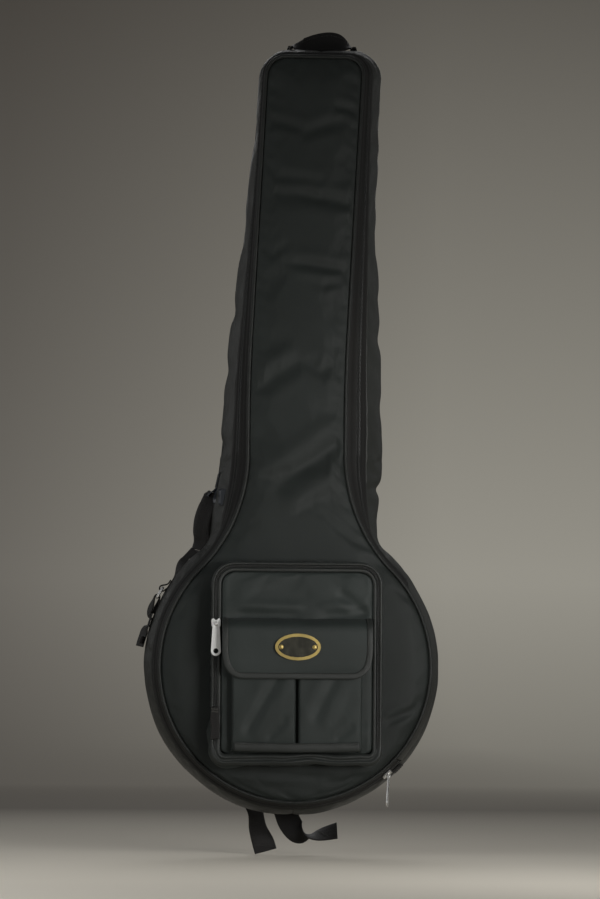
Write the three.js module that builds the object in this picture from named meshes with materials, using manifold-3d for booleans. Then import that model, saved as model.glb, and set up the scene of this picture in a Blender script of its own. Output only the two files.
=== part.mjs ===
// Soft banjo case: a padded gig bag with a round drum, a long neck and a lid that opens like a book.
// Millimetres, +Z up along the neck, the lid faces -Y, and the drum's underside lies at Z = 0.

import * as THREE from 'three';
import { mergeVertices } from 'three/addons/utils/BufferGeometryUtils.js';
import Module from 'manifold-3d';

const wasm = await Module();
wasm.setup();

// The bag as a whole
const bagLength = 1029;
const bagDepth = 118;
const drumRadius = 197;
const neckTopWidth = 160;
const neckBaseWidth = 222;
const neckCornerRadius = 38;
const shoulderRadius = 30;
const wallThickness = 8;
const backThickness = 10;
const clearance = 0.3;
const widestShare = 0.6;
const backDrawShare = 0.16;

// The lean of the soft neck, measured from the drum's centre
const leanAngle = 2.9;
const leanStart = 323;
const leanBlend = 120;
const neckShift = 11;
const shiftStart = 150;
const shiftBlend = 200;

// The lid
const lidRadius = 183;
const lidNeckWidth = 135;
const lidFlareRadius = 220;
const lidCornerRadius = 27;
const lidTopInset = 14;
const lidThickness = 8;
const lidCrown = 5;
const liningThickness = 2;

// Piping and the main zip
const pipingRadius = 2.5;
const pipingSetback = 1;
const zipTapeWidth = 11;
const zipTapeThickness = 1.5;
const zipCoilWidth = 3;
const zipCoilRise = 0.8;

// Big pocket, with its heights measured from the drum's centre
const pocketWidth = 226;
const pocketTop = 137;
const pocketBottom = -128;
const pocketDepth = 26;
const pocketTopCorner = 30;
const pocketBottomCorner = 20;
const pocketWall = 4;
const pocketBorder = 13;
const pocketPanelThickness = 3;
const pocketCoilInset = 4;
const pocketCoilWidth = 4;

// Small double pocket and its flap
const smallPocketSetback = 13;
const smallPocketTop = 10;
const smallPocketBottom = -112;
const smallPocketDepth = 13;
const smallPocketWall = 1.8;
const smallPocketGap = 3;
const pleatDepth = 3.5;
const hemHeight = 12;
const hemThickness = 2.4;
const stripHeight = 14;
const stripThickness = 1.2;
const stripMargin = 14;
const flapMargin = 14;
const flapDrop = 77;
const flapSeam = 60;
const flapCorner = 28;
const flapThickness = 3;
const flapBindingWidth = 8;
const flapBindingThickness = 4.2;
const flapBend = 15;

// Badge on the flap
const badgeWidth = 60;
const badgeHeight = 35;
const badgeThickness = 2;
const badgeRimWidth = 4;
const badgeRimRise = 1;
const badgeDrop = 35;
const rivetRadius = 3.2;
const rivetRise = 1.6;
const rivetSpacing = 44;

// Zip sliders and their pulls
const sliderLength = 14;
const sliderWidth = 12;
const sliderPlate = 2;
const sliderClearance = 0.8;
const bailGap = 3;
const bailBar = 1.4;
const bailWidth = 3;
const pullLength = 43;
const pullTopWidth = 9;
const pullBottomWidth = 13;
const pullThickness = 1.6;
const pullBar = 1.5;
const pullSlotWidth = 4.4;
const pullSlotLength = 6;
const pullHoleRadius = 3.4;
const pocketSliderHeight = 55;

// Webbing
const webbingWidth = 25;
const webbingThickness = 2;
const strapWidth = 32;
const patchLength = 34;

// Handle on the left gusset, with its heights measured from the drum's centre
const handleTop = 226;
const handleBottom = 150;
const handleLift = 9;
const handleArch = 8;
const handleGripThickness = 13;
const handleGripWidth = 30;
const handleStraight = 3;
const handleDepth = 12;

// Metal ring, strap and slide on the left gusset
const ringHeight = 100;
const ringRadius = 2;
const ringLength = 14;
const ringStandoff = 7;
const ringPlay = 2;
const ringCornerShare = 1.5;
const tabBore = 3;
const strapDropLength = 70;
const slideThickness = 2.4;
const slideWidth = 34;
const slideLength = 24;
const slideCorner = 2;
const slideSlotPitch = 12;
const slideSlotHeight = 6.4;
const slideDrop = 35;
const slideRise = 2.6;
const strapCross = 1.5;
const keeperDrop = 56;
const keeperLength = 10;
const keeperThickness = 1.6;

// Haul handle on the neck end
const haulSpan = 86;
const haulRise = 22;
const haulFoot = 12;
const haulLift = 5;
const haulStraight = 2;
const haulThickness = 4;
const haulPeakShare = 0.64;

// Shoulder straps on the back, with heights measured from the drum's centre
const yokeHeight = 178;
const yokeWidth = 150;
const yokeDrop = 46;
const yokeThickness = 4;
const yokeLowerCorner = 12;
const yokeUpperCorner = 20;
const padTopSpread = 36;
const padBottomShift = -41;
const padBottomSpread = 27;
const padBottom = -62;
const padWidth = 62;
const padTaperWidth = 42;
const padThickness = 12;
const lockWidth = 44;
const lockHeight = 30;
const lockThickness = 4;
const lockSlot = 5;
const lockCorner = 3;
const anchorHeight = -160;
const anchorSpread = 66;

// Free ends of the shoulder straps' webbing. Each stop lies to the side of the middle, behind the ladder
// lock's face and above the drum's underside; the turns are the directions of the webbing's width.
const leftTailStops = [[-66, 4, 60], [-59, 5, 25], [-53, 6, 0], [-49, 7, -22], [-40, 6, -42], [-34, 4, -53]];
const leftTailTurnShares = [[1, 0, 0], [1, 0.1, 0], [1, 0.3, 0], [1, 0.3, 0.1], [1, 0, 0.1], [1, 0, 0.03]];
const rightTailStops = [[-17, 4, 60], [-18, 6, 25], [-12, 6, 2], [-5, 2, -16], [6, -6, -28], [24, -14, -31],
  [43, -18, -25]];
const rightTailTurnShares = [[1, 0, 0], [1, 0, 0.1], [1, 0, 0.3], [1, -0.2, 0.5], [0.9, -0.6, 0.2],
  [0.6, -0.8, -0.2], [0.62, -0.7, -0.35]];

// Inside of the bag, with heights measured from the drum's centre
const cradleHeight = 290;
const cradleLength = 60;
const cradleDepth = 52;
const cradleWidth = 150;
const channelWidth = 62;
const channelDepth = 34;
const neckStrapWidth = 38;

// Zip end tab
const endTabLength = 34;
const endTabWidth = 16;
const endTabThickness = 2;
const endTabRidges = 4;
const endTabRidgeRise = 0.8;

// Counts of steps
const drumSteps = 14;
const flareSteps = 7;
const shoulderSteps = 3;
const neckSteps = 6;
const cornerSteps = 4;
const pipingSides = 6;
const tubeSides = 8;

// Places derived from the sizes
const drumCentre = drumRadius;
const frontY = -bagDepth / 2;
const backY = bagDepth / 2;
const seamGap = clearance / 2;
const pipingY = frontY + pipingSetback + pipingRadius;
const panelInset = 2 * pipingRadius + clearance;
const rebate = zipTapeThickness + clearance;
const lidTapeY = pipingY + pipingRadius + clearance;
const seamY = lidTapeY + zipTapeWidth;
const outerTop = bagLength - drumCentre;
const lidTop = outerTop - lidTopInset;
const flapWidth = pocketWidth - 2 * flapMargin;
const smallPocketWidth = flapWidth - 2 * smallPocketSetback;

// Colours of the cloth, webbing, plastic and metal
const lidCloth = { color: 0x2f3433, roughness: 0.85, metalness: 0 };
const gussetCloth = { color: 0x2c2b29, roughness: 0.88, metalness: 0 };
const pipingCloth = { color: 0x1d1e1e, roughness: 0.7, metalness: 0 };
const zipTape = { color: 0x151516, roughness: 0.8, metalness: 0 };
const webbing = { color: 0x100f0e, roughness: 0.85, metalness: 0 };
const plushLining = { color: 0x3a3a3c, roughness: 0.95, metalness: 0 };
const blackFoam = { color: 0x242426, roughness: 0.95, metalness: 0 };
const nickel = { color: 0xd9dadb, roughness: 0.22, metalness: 1 };
const gold = { color: 0xb8913f, roughness: 0.3, metalness: 1 };
const enamel = { color: 0x1d1a14, roughness: 0.25, metalness: 0 };
const blackPlastic = { color: 0x161616, roughness: 0.45, metalness: 0 };

const group = new THREE.Group();

function addPiece(name, geometry, finish) {
  const mesh = new THREE.Mesh(geometry, new THREE.MeshStandardMaterial(finish));
  mesh.name = name;
  group.add(mesh);
  return mesh;
}

// Closed meshes from rings, outlines and joined solids

function signedVolume(positions, indices) {
  const a = new THREE.Vector3();
  const b = new THREE.Vector3();
  const c = new THREE.Vector3();
  let volume = 0;
  for (let i = 0; i < indices.length; i += 3) {
    a.fromArray(positions, 3 * indices[i]);
    b.fromArray(positions, 3 * indices[i + 1]);
    c.fromArray(positions, 3 * indices[i + 2]);
    volume += a.dot(b.cross(c));
  }
  return volume;
}

function closedGeometry(positions, indices) {
  const turned = signedVolume(positions, indices) < 0;
  const facing = turned ? indices.slice().reverse() : indices;
  const geometry = new THREE.BufferGeometry();
  geometry.setAttribute('position', new THREE.Float32BufferAttribute(positions, 3));
  geometry.setIndex(facing);
  geometry.computeVertexNormals();
  return geometry;
}

function planeOf(ring) {
  const normal = new THREE.Vector3();
  ring.forEach((point, i) => {
    const next = ring[(i + 1) % ring.length];
    normal.add(new THREE.Vector3().crossVectors(point, next));
  });
  normal.normalize();
  const along = ring[1].clone().sub(ring[0]).normalize();
  const across = new THREE.Vector3().crossVectors(normal, along);
  return { along, across };
}

function capOf(ring, first, turned) {
  const { along, across } = planeOf(ring);
  const flat = ring.map((point) => new THREE.Vector2(point.dot(along), point.dot(across)));
  const faces = THREE.ShapeUtils.triangulateShape(flat, []);
  return faces.flatMap(([i, j, k]) => {
    const turn = flat[j].clone().sub(flat[i]).cross(flat[k].clone().sub(flat[i]));
    const ordered = (turn < 0) !== turned ? [i, k, j] : [i, j, k];
    return ordered.map((corner) => first + corner);
  });
}

// Skins a row of rings. Each four-sided patch is split from its front corner on the first ring, so that
// neighbouring pieces that follow one surface are split alike and keep their gap.
function loft(rings, closed = false) {
  const size = rings[0].length;
  const positions = rings.flat().flatMap((point) => point.toArray());
  const indices = [];
  const spans = closed ? rings.length : rings.length - 1;
  for (let span = 0; span < spans; span += 1) {
    const here = span * size;
    const next = ((span + 1) % rings.length) * size;
    for (let i = 0; i < size; i += 1) {
      const j = (i + 1) % size;
      if (rings[span][i].y <= rings[span][j].y) {
        indices.push(here + i, here + j, next + j, here + i, next + j, next + i);
      } else {
        indices.push(here + i, here + j, next + i, here + j, next + j, next + i);
      }
    }
  }
  if (!closed) {
    indices.push(...capOf(rings[0], 0, true));
    indices.push(...capOf(rings[rings.length - 1], (rings.length - 1) * size, false));
  }
  return closedGeometry(positions, indices);
}

function merged(geometry) {
  const bare = geometry.clone();
  bare.deleteAttribute('normal');
  bare.deleteAttribute('uv');
  const whole = mergeVertices(bare);
  const corners = Array.from(whole.index.array);
  const faces = [];
  for (let i = 0; i < corners.length; i += 3) {
    const [a, b, c] = corners.slice(i, i + 3);
    if (a !== b && b !== c && a !== c) faces.push(a, b, c);
  }
  return closedGeometry(Array.from(whole.attributes.position.array), faces);
}

function toSolid(geometry) {
  const bare = merged(geometry);
  return new wasm.Manifold(new wasm.Mesh({
    numProp: 3,
    vertProperties: new Float32Array(bare.attributes.position.array),
    triVerts: new Uint32Array(bare.index.array),
  }));
}

function fromSolid(solid) {
  const mesh = solid.getMesh();
  return closedGeometry(Array.from(mesh.vertProperties), Array.from(mesh.triVerts));
}

function joined(...geometries) {
  return fromSolid(geometries.map(toSolid).reduce((whole, piece) => whole.add(piece)));
}

// A shape drawn in X and Z, given a thickness from the face at backFace towards -Y
function frontPlate(shape, backFace, thickness, curveSegments = 6) {
  const plate = new THREE.ExtrudeGeometry(shape, { depth: thickness, bevelEnabled: false, curveSegments });
  plate.rotateX(Math.PI / 2);
  plate.translate(0, backFace, 0);
  return merged(plate);
}

// A shape drawn in the plane of X and Z, given a width along Y about a middle
function sidePlate(shape, middleY, width, curveSegments = 6) {
  return frontPlate(shape, middleY + width / 2, width, curveSegments);
}

function polygon(points) {
  const flat = points.map((point) => new THREE.Vector2(point.x, point.y));
  return new THREE.Shape(THREE.ShapeUtils.isClockWise(flat) ? flat.reverse() : flat);
}

function roundedRectangle(left, right, bottom, top, lowerCorner, upperCorner) {
  const shape = new THREE.Shape();
  shape.moveTo(left + lowerCorner, bottom);
  shape.lineTo(right - lowerCorner, bottom);
  shape.absarc(right - lowerCorner, bottom + lowerCorner, lowerCorner, -Math.PI / 2, 0, false);
  shape.lineTo(right, top - upperCorner);
  shape.absarc(right - upperCorner, top - upperCorner, upperCorner, 0, Math.PI / 2, false);
  shape.lineTo(left + upperCorner, top);
  shape.absarc(left + upperCorner, top - upperCorner, upperCorner, Math.PI / 2, Math.PI, false);
  shape.lineTo(left, bottom + lowerCorner);
  shape.absarc(left + lowerCorner, bottom + lowerCorner, lowerCorner, Math.PI, 1.5 * Math.PI, false);
  return shape;
}

// The outline of a ribbon that follows a flat path, mitred at its bends
function ribbonOutline(path, thickness) {
  const side = (sign) => path.map((point, i) => {
    const before = path[Math.max(i - 1, 0)];
    const after = path[Math.min(i + 1, path.length - 1)];
    const first = (i === 0 ? after.clone().sub(point) : point.clone().sub(before)).normalize();
    const second = (i === path.length - 1 ? point.clone().sub(before) : after.clone().sub(point)).normalize();
    const normal = new THREE.Vector2(-first.y - second.y, first.x + second.x).normalize();
    const reach = thickness / 2 / (normal.x * -first.y + normal.y * first.x);
    return point.clone().addScaledVector(normal, sign * reach);
  });
  return polygon([...side(1), ...side(-1).reverse()]);
}

// A ribbon in X and Z, its width along Y
function ribbonAcross(path, thickness, middleY, width) {
  return sidePlate(ribbonOutline(path, thickness), middleY, width);
}

// A ribbon in Y and Z, its width along X
function ribbonFacing(path, thickness, middleX, width) {
  const outline = ribbonOutline(path, thickness);
  const ribbon = new THREE.ExtrudeGeometry(outline, { depth: width, bevelEnabled: false });
  ribbon.rotateX(Math.PI / 2);
  ribbon.rotateZ(Math.PI / 2);
  ribbon.translate(middleX - width / 2, 0, 0);
  return merged(ribbon);
}

function sectionRing(centre, across, out, halfWidth, halfThickness, cornerShare, sides) {
  const ring = [];
  for (let i = 0; i < sides; i += 1) {
    const angle = ((i + 0.5) / sides) * 2 * Math.PI;
    const x = Math.sign(Math.cos(angle)) * Math.abs(Math.cos(angle)) ** cornerShare;
    const y = Math.sign(Math.sin(angle)) * Math.abs(Math.sin(angle)) ** cornerShare;
    ring.push(centre.clone().addScaledVector(across, x * halfWidth).addScaledVector(out, y * halfThickness));
  }
  return ring;
}

// The outline of the bag, as matching points on the lid's edge and on the widest line of the gusset

function smooth(share) {
  const held = THREE.MathUtils.clamp(share, 0, 1);
  return held * held * (3 - 2 * held);
}

function lean(height) {
  const run = Math.max(height - leanStart, 0);
  const bent = run < leanBlend ? (run * run) / (2 * leanBlend) : run - leanBlend / 2;
  return bent * Math.tan(THREE.MathUtils.degToRad(leanAngle));
}

function shiftAt(height) {
  return neckShift * smooth((height - shiftStart) / shiftBlend);
}

function flareOf(circleRadius, halfWidth, filletRadius) {
  const centreX = halfWidth + filletRadius;
  const height = Math.sqrt((circleRadius + filletRadius) ** 2 - centreX ** 2);
  return { centreX, height, angle: Math.atan2(height, centreX) };
}

const lidFlare = flareOf(lidRadius, lidNeckWidth / 2, lidFlareRadius);
const shoulder = flareOf(drumRadius, neckBaseWidth / 2, shoulderRadius);

function neckHalf(height) {
  const share = smooth((outerTop - height) / (outerTop - shoulder.height));
  return THREE.MathUtils.lerp(neckTopWidth, neckBaseWidth, share) / 2;
}

function onArc(centreX, centreY, radius, angle) {
  return new THREE.Vector2(centreX + radius * Math.cos(angle), centreY + radius * Math.sin(angle));
}

function halfOutline() {
  const stations = [];
  for (let i = 0; i <= drumSteps; i += 1) {
    const turn = (angle) => THREE.MathUtils.lerp(-Math.PI / 2, angle, i / drumSteps);
    stations.push({
      lid: onArc(0, 0, lidRadius, turn(lidFlare.angle)),
      outer: onArc(0, 0, drumRadius, turn(shoulder.angle)),
    });
  }
  for (let i = 1; i <= flareSteps; i += 1) {
    const lidAngle = Math.PI + lidFlare.angle * (1 - i / flareSteps);
    const shoulderShare = Math.min(i / shoulderSteps, 1);
    const shoulderPoint = onArc(shoulder.centreX, shoulder.height, shoulderRadius,
      Math.PI + shoulder.angle * (1 - shoulderShare));
    const rise = Math.max((i - shoulderSteps) / (flareSteps - shoulderSteps), 0);
    const height = THREE.MathUtils.lerp(shoulder.height, lidFlare.height, rise);
    stations.push({
      lid: onArc(lidFlare.centreX, lidFlare.height, lidFlareRadius, lidAngle),
      outer: i <= shoulderSteps ? shoulderPoint : new THREE.Vector2(neckHalf(height), height),
    });
  }
  for (let i = 1; i <= neckSteps; i += 1) {
    const lidHeight = THREE.MathUtils.lerp(lidFlare.height, lidTop - lidCornerRadius, i / neckSteps);
    const height = THREE.MathUtils.lerp(lidFlare.height, outerTop - neckCornerRadius, i / neckSteps);
    stations.push({
      lid: new THREE.Vector2(lidNeckWidth / 2, lidHeight),
      outer: new THREE.Vector2(neckHalf(height), height),
    });
  }
  const cornerX = neckHalf(outerTop - neckCornerRadius) - neckCornerRadius;
  for (let i = 1; i <= cornerSteps; i += 1) {
    const angle = (Math.PI / 2) * (i / cornerSteps);
    stations.push({
      lid: onArc(lidNeckWidth / 2 - lidCornerRadius, lidTop - lidCornerRadius, lidCornerRadius, angle),
      outer: onArc(cornerX, outerTop - neckCornerRadius, neckCornerRadius, angle),
    });
  }
  stations.push({ lid: new THREE.Vector2(0, lidTop), outer: new THREE.Vector2(0, outerTop) });
  return stations;
}

const rightHalf = halfOutline();
const topPlace = rightHalf.length - 1;
const mirrored = ({ lid, outer }) => ({
  lid: new THREE.Vector2(-lid.x, lid.y),
  outer: new THREE.Vector2(-outer.x, outer.y),
});
const stations = [...rightHalf, ...rightHalf.slice(1, topPlace).reverse().map(mirrored)];
const placeCount = stations.length;

function bulge(y) {
  const share = THREE.MathUtils.clamp((y - lidTapeY) / (backY - lidTapeY), 0, 1);
  if (share <= widestShare) return 1 - (1 - share / widestShare) ** 2;
  return 1 - backDrawShare * ((share - widestShare) / (1 - widestShare)) ** 2;
}

function outlinePoint(index, y) {
  const station = stations[((index % placeCount) + placeCount) % placeCount];
  const share = bulge(y);
  const point = station.lid.clone().lerp(station.outer, share);
  point.x += lean(point.y) + share * shiftAt(point.y);
  return point;
}

function outlineNormal(index, y) {
  const along = outlinePoint(index + 1, y).sub(outlinePoint(index - 1, y)).normalize();
  return new THREE.Vector2(along.y, -along.x);
}

// A point near the bag's skin: its place round the outline, its depth, and how far out it lies
function skinPoint(place, y, out) {
  const index = Math.floor(place);
  const part = place - index;
  const point = outlinePoint(index, y).lerp(outlinePoint(index + 1, y), part);
  const normal = outlineNormal(index, y).lerp(outlineNormal(index + 1, y), part).normalize();
  return new THREE.Vector3(point.x + normal.x * out, y, drumCentre + point.y + normal.y * out);
}

// Places from one to another, each end drawn in by half a seam's gap
function placesBetween(first, last) {
  const stepAt = (place) => outlinePoint(place, 0).distanceTo(outlinePoint(place + 1, 0));
  const places = [first + seamGap / stepAt(first)];
  for (let place = first + 1; place < last; place += 1) places.push(place);
  places.push(last - seamGap / stepAt(last - 1));
  return places;
}

function band(places, profile, closed = false) {
  return loft(places.map((place) => profile.map(([y, out]) => skinPoint(place, y, out))), closed);
}

const allPlaces = Array.from({ length: placeCount }, (_, place) => place);

// The fabric hinge lies along the right side of the drum, and the zip runs round all the rest
const hingeFirst = 5;
const hingeLast = 13;
const hingePlaces = placesBetween(hingeFirst, hingeLast);
const zipPlaces = placesBetween(hingeLast, hingeFirst + placeCount);

// Panels with rounded edges

function spinePoint(point) {
  const height = THREE.MathUtils.clamp(point.z - drumCentre, 0, lidTop - lidNeckWidth / 2);
  return new THREE.Vector3(lean(height), point.y, drumCentre + height);
}

const crownShares = [0.03, 0.08, 0.15];

function crownedPanel(seatY, edgeY, faceY, inset, crown) {
  const edge = (y) => allPlaces.map((place) => skinPoint(place, faceY, -inset).setY(y));
  const rings = [edge(seatY), edge(edgeY)];
  crownShares.forEach((share, i) => {
    const rise = crown * Math.sin((Math.PI / 2) * ((i + 1) / crownShares.length));
    const ring = edge(faceY).map((point) => point.lerp(spinePoint(point), share));
    const direction = Math.sign(faceY - seatY);
    rings.push(ring.map((point) => point.setY(faceY + direction * rise)));
  });
  return loft(rings);
}

function flatPanel(firstY, secondY, inset) {
  return loft([firstY, secondY].map((y) => allPlaces.map((place) => skinPoint(place, y, -inset))));
}

function piping(y) {
  const rings = allPlaces.map((place) => {
    const centre = skinPoint(place, y, -pipingRadius);
    const out = skinPoint(place, y, 0).sub(centre).normalize();
    return sectionRing(centre, new THREE.Vector3(0, 1, 0), out, pipingRadius, pipingRadius, 1, pipingSides);
  });
  return loft(rings, true);
}

// Shell: back panel, gussets, piping, zip and hinge halves
const backPanelY = backY - backThickness;
const backPipingY = backPanelY + pipingRadius;
const gussetEndY = backPanelY - clearance;
const tapeEndY = seamY + zipTapeWidth;

function gusset(places) {
  const full = tapeEndY + clearance;
  const inner = -wallThickness - rebate;
  const levels = [full, (full + handleDepth) / 2, handleDepth, gussetEndY];
  const outside = levels.map((y) => [y, 0]);
  const inside = levels.slice(1).reverse().map((y) => [y, -wallThickness]);
  return band(places, [
    [seamY + seamGap, inner],
    [seamY + seamGap, -rebate],
    [full, -rebate],
    ...outside,
    ...inside,
    [full, inner],
  ]);
}

addPiece('back_panel', crownedPanel(backPanelY, backY - pipingRadius, backY, panelInset, 0), gussetCloth);
addPiece('gusset_right', gusset(placesBetween(0, topPlace)), gussetCloth);
addPiece('gusset_left', gusset(placesBetween(topPlace, placeCount)), gussetCloth);
addPiece('back_piping', piping(backPipingY), pipingCloth);
addPiece('shell_zip', band(zipPlaces, [
  [seamY + seamGap, -zipTapeThickness],
  [seamY + seamGap, zipCoilRise],
  [seamY + zipCoilWidth, zipCoilRise],
  [seamY + zipCoilWidth, 0],
  [tapeEndY, 0],
  [tapeEndY, -zipTapeThickness],
]), zipTape);
addPiece('shell_hinge_band', band(hingePlaces, [
  [seamY + seamGap, -zipTapeThickness],
  [seamY + seamGap, 0],
  [tapeEndY, 0],
  [tapeEndY, -zipTapeThickness],
]), gussetCloth);
const liningY = backPanelY - clearance;
const liningInset = wallThickness + clearance;
addPiece('back_lining', flatPanel(liningY, liningY - liningThickness, liningInset), plushLining);

// Lid: crowned panel, piping, rim, lining, zip and hinge halves
const lidBackY = frontY + lidThickness;
const lidRimY = lidBackY + clearance;
addPiece('lid_panel', crownedPanel(lidBackY, frontY + pipingRadius, frontY, panelInset, lidCrown), lidCloth);
addPiece('lid_piping', piping(pipingY), pipingCloth);
const lidCoilY = seamY - zipCoilWidth;
const lidSeamY = seamY - seamGap;
const tapeBack = [lidSeamY, lidCoilY, lidRimY].map((y) => [y, -zipTapeThickness]);
const rimFace = [lidRimY, lidCoilY, lidSeamY].map((y) => [y, -rebate]);
const rimBack = [lidSeamY, lidCoilY, lidRimY].map((y) => [y, -wallThickness - rebate]);
const rimProfile = [...rimFace, ...rimBack];
addPiece('lid_rim_right', band(placesBetween(0, topPlace), rimProfile), gussetCloth);
addPiece('lid_rim_left', band(placesBetween(topPlace, placeCount), rimProfile), gussetCloth);
addPiece('lid_zip', band(zipPlaces, [
  [lidTapeY, -zipTapeThickness],
  [lidTapeY, 0],
  [lidCoilY, 0],
  [lidCoilY, zipCoilRise],
  [lidSeamY, zipCoilRise],
  ...tapeBack,
]), zipTape);
addPiece('lid_hinge_band', band(hingePlaces, [
  [lidTapeY, -zipTapeThickness],
  [lidTapeY, 0],
  [lidCoilY, 0],
  [lidSeamY, 0],
  ...tapeBack,
]), gussetCloth);
const rimInset = wallThickness + rebate + 2 * clearance;
addPiece('lid_lining', flatPanel(lidRimY, lidRimY + liningThickness, rimInset), plushLining);

// Big pocket: side wall, front border with its zip, and a front panel hinged at its lower edge
const pocketBackY = frontY - lidCrown - clearance;
const pocketFrontY = pocketBackY - pocketDepth;
const borderY = pocketFrontY - clearance;
const doorFaceY = borderY - pocketPanelThickness;

function pocketOutline(inset) {
  const upper = Math.max(pocketTopCorner - inset, clearance);
  const lower = Math.max(pocketBottomCorner - inset, clearance);
  return roundedRectangle(-pocketWidth / 2 + inset, pocketWidth / 2 - inset,
    drumCentre + pocketBottom + inset, drumCentre + pocketTop - inset, lower, upper);
}

function pocketFrame(outerInset, innerInset, backFace, thickness) {
  const shape = pocketOutline(outerInset);
  shape.holes.push(pocketOutline(innerInset));
  return frontPlate(shape, backFace, thickness);
}

// The coil runs up the left side, over the top and down the right side
function pocketCoil() {
  const outer = pocketOutline(pocketCoilInset).getPoints(6);
  const inner = pocketOutline(pocketCoilInset + pocketCoilWidth).getPoints(6);
  const above = drumCentre + pocketBottom + pocketBottomCorner;
  const upper = (points) => points.filter((point) => point.y >= above - clearance);
  const apart = (point, i, all) => i === 0 || point.distanceTo(all[i - 1]) > clearance;
  const run = (points) => upper(points).filter(apart);
  return frontPlate(polygon([...run(outer), ...run(inner).reverse()]), doorFaceY - clearance, zipCoilRise);
}

addPiece('pocket_wall', pocketFrame(0, pocketWall, pocketBackY, pocketDepth), lidCloth);
addPiece('pocket_border', pocketFrame(0, pocketBorder, borderY, pocketPanelThickness), zipTape);
addPiece('pocket_coil', pocketCoil(), zipTape);
const doorInset = pocketBorder + clearance;
addPiece('pocket_front', frontPlate(pocketOutline(doorInset), borderY, pocketPanelThickness), lidCloth);

// Small double pocket: pleated side walls, a floor, loop strips and a hem
function pleatedOutline(left, right, inset) {
  const sign = Math.sign(right - left);
  const near = left + sign * inset;
  const far = right - sign * inset;
  const depth = smallPocketDepth - inset;
  return [
    [near, 0],
    [near + sign * pleatDepth, depth / 3],
    [near, (2 * depth) / 3],
    [near + sign * pleatDepth / 2, depth],
    [far - sign * pleatDepth / 2, depth],
    [far, (2 * depth) / 3],
    [far - sign * pleatDepth, depth / 3],
    [far, 0],
  ].map(([x, y]) => new THREE.Vector2(x, y));
}

function upright(shape, bottom, height) {
  const block = new THREE.ExtrudeGeometry(shape, { depth: height, bevelEnabled: false });
  block.scale(1, -1, 1);
  block.translate(0, doorFaceY - clearance, drumCentre + bottom);
  return merged(block);
}

function smallPocket(left, right) {
  const outside = pleatedOutline(left, right, 0);
  const inside = pleatedOutline(left, right, smallPocketWall);
  const wall = polygon([...outside, ...inside.reverse()]);
  const height = smallPocketTop - smallPocketBottom;
  const floor = upright(polygon(outside), smallPocketBottom, smallPocketWall);
  return joined(upright(wall, smallPocketBottom, height), floor);
}

const smallOuter = smallPocketWidth / 2;
const smallInner = smallPocketGap / 2;
const smallFaceY = doorFaceY - clearance - smallPocketDepth;
addPiece('small_pocket_left', smallPocket(-smallOuter, -smallInner), lidCloth);
addPiece('small_pocket_right', smallPocket(smallInner, smallOuter), lidCloth);

function barPlate(left, right, bottom, height, backFace, thickness) {
  const foot = drumCentre + bottom;
  const corners = [[left, foot], [right, foot], [right, foot + height], [left, foot + height]];
  return frontPlate(polygon(corners.map(([x, y]) => new THREE.Vector2(x, y))), backFace, thickness);
}

const stripBottom = flapSeam - flapDrop + flapBindingWidth + 2 * clearance;
const stripY = smallFaceY - clearance;
const stripOuter = smallOuter - stripMargin;
const stripInner = smallInner + stripMargin;
const strip = (left, right, faceY) => barPlate(left, right, stripBottom, stripHeight, faceY, stripThickness);
addPiece('loop_strip_left', strip(-stripOuter, -stripInner, stripY), webbing);
addPiece('loop_strip_right', strip(stripInner, stripOuter, stripY), webbing);
const hemHalf = smallOuter - pleatDepth;
addPiece('small_pocket_hem',
  barPlate(-hemHalf, hemHalf, smallPocketBottom, hemHeight, stripY, hemThickness), lidCloth);

// Flap: hangs from its seam, bends over the small pocket's mouth and lies on the strips
const flapStandoff = smallPocketDepth + 2 * stripThickness + 4 * clearance;
const flapBendShares = [[0.45, 0.2], [0.85, 0.6], [1, 1.3]];
const bendNearShare = 0.999;
const flapPath = [
  new THREE.Vector2(clearance, 0),
  ...flapBendShares.map(([out, down]) => new THREE.Vector2(flapStandoff * out, -flapBend * down)),
  new THREE.Vector2(flapStandoff, -flapDrop),
];
const flapLengths = flapPath.map((point, i) => (i === 0 ? 0 : point.distanceTo(flapPath[i - 1])));
const flapRuns = flapLengths.map((_, i) => flapLengths.slice(0, i + 1).reduce((sum, step) => sum + step, 0));
const flapRun = flapRuns[flapRuns.length - 1];

function flapPoint(x, run, out) {
  const last = flapPath.length - 1;
  const found = flapRuns.findIndex((end) => end >= run);
  const next = found < 1 ? (found === 0 ? 1 : last) : found;
  const share = (run - flapRuns[next - 1]) / (flapRuns[next] - flapRuns[next - 1]);
  const point = flapPath[next - 1].clone().lerp(flapPath[next], share);
  const along = flapPath[next].clone().sub(flapPath[next - 1]).normalize();
  const nearBend = next < last && share > bendNearShare;
  const beyond = nearBend ? flapPath[next + 1].clone().sub(flapPath[next]).normalize() : along;
  const mean = along.clone().add(beyond).normalize();
  const reach = out / mean.dot(along);
  const y = doorFaceY - point.x + mean.y * reach;
  return new THREE.Vector3(x, y, drumCentre + flapSeam + point.y + mean.x * reach);
}

function flapHalf(run, inset) {
  const radius = Math.max(flapCorner - inset, clearance);
  const half = flapWidth / 2 - inset;
  const past = Math.max(run - (flapRun - inset - radius), 0);
  return half - radius + Math.sqrt(Math.max(radius ** 2 - past ** 2, 0));
}

function flapRing(run, inset, thickness) {
  const half = flapHalf(run, inset);
  return [
    flapPoint(-half, run, 0),
    flapPoint(half, run, 0),
    flapPoint(half, run, thickness),
    flapPoint(-half, run, thickness),
  ];
}

const cornerShares = [0, 0.4, 0.7, 0.9, 1];

function flapStops(inset) {
  const radius = flapCorner - inset;
  const cornerStart = flapRun - inset - radius;
  const bends = flapRuns.slice(1, -1);
  return [0, ...bends, ...cornerShares.map((share) => cornerStart + radius * share)];
}

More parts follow.
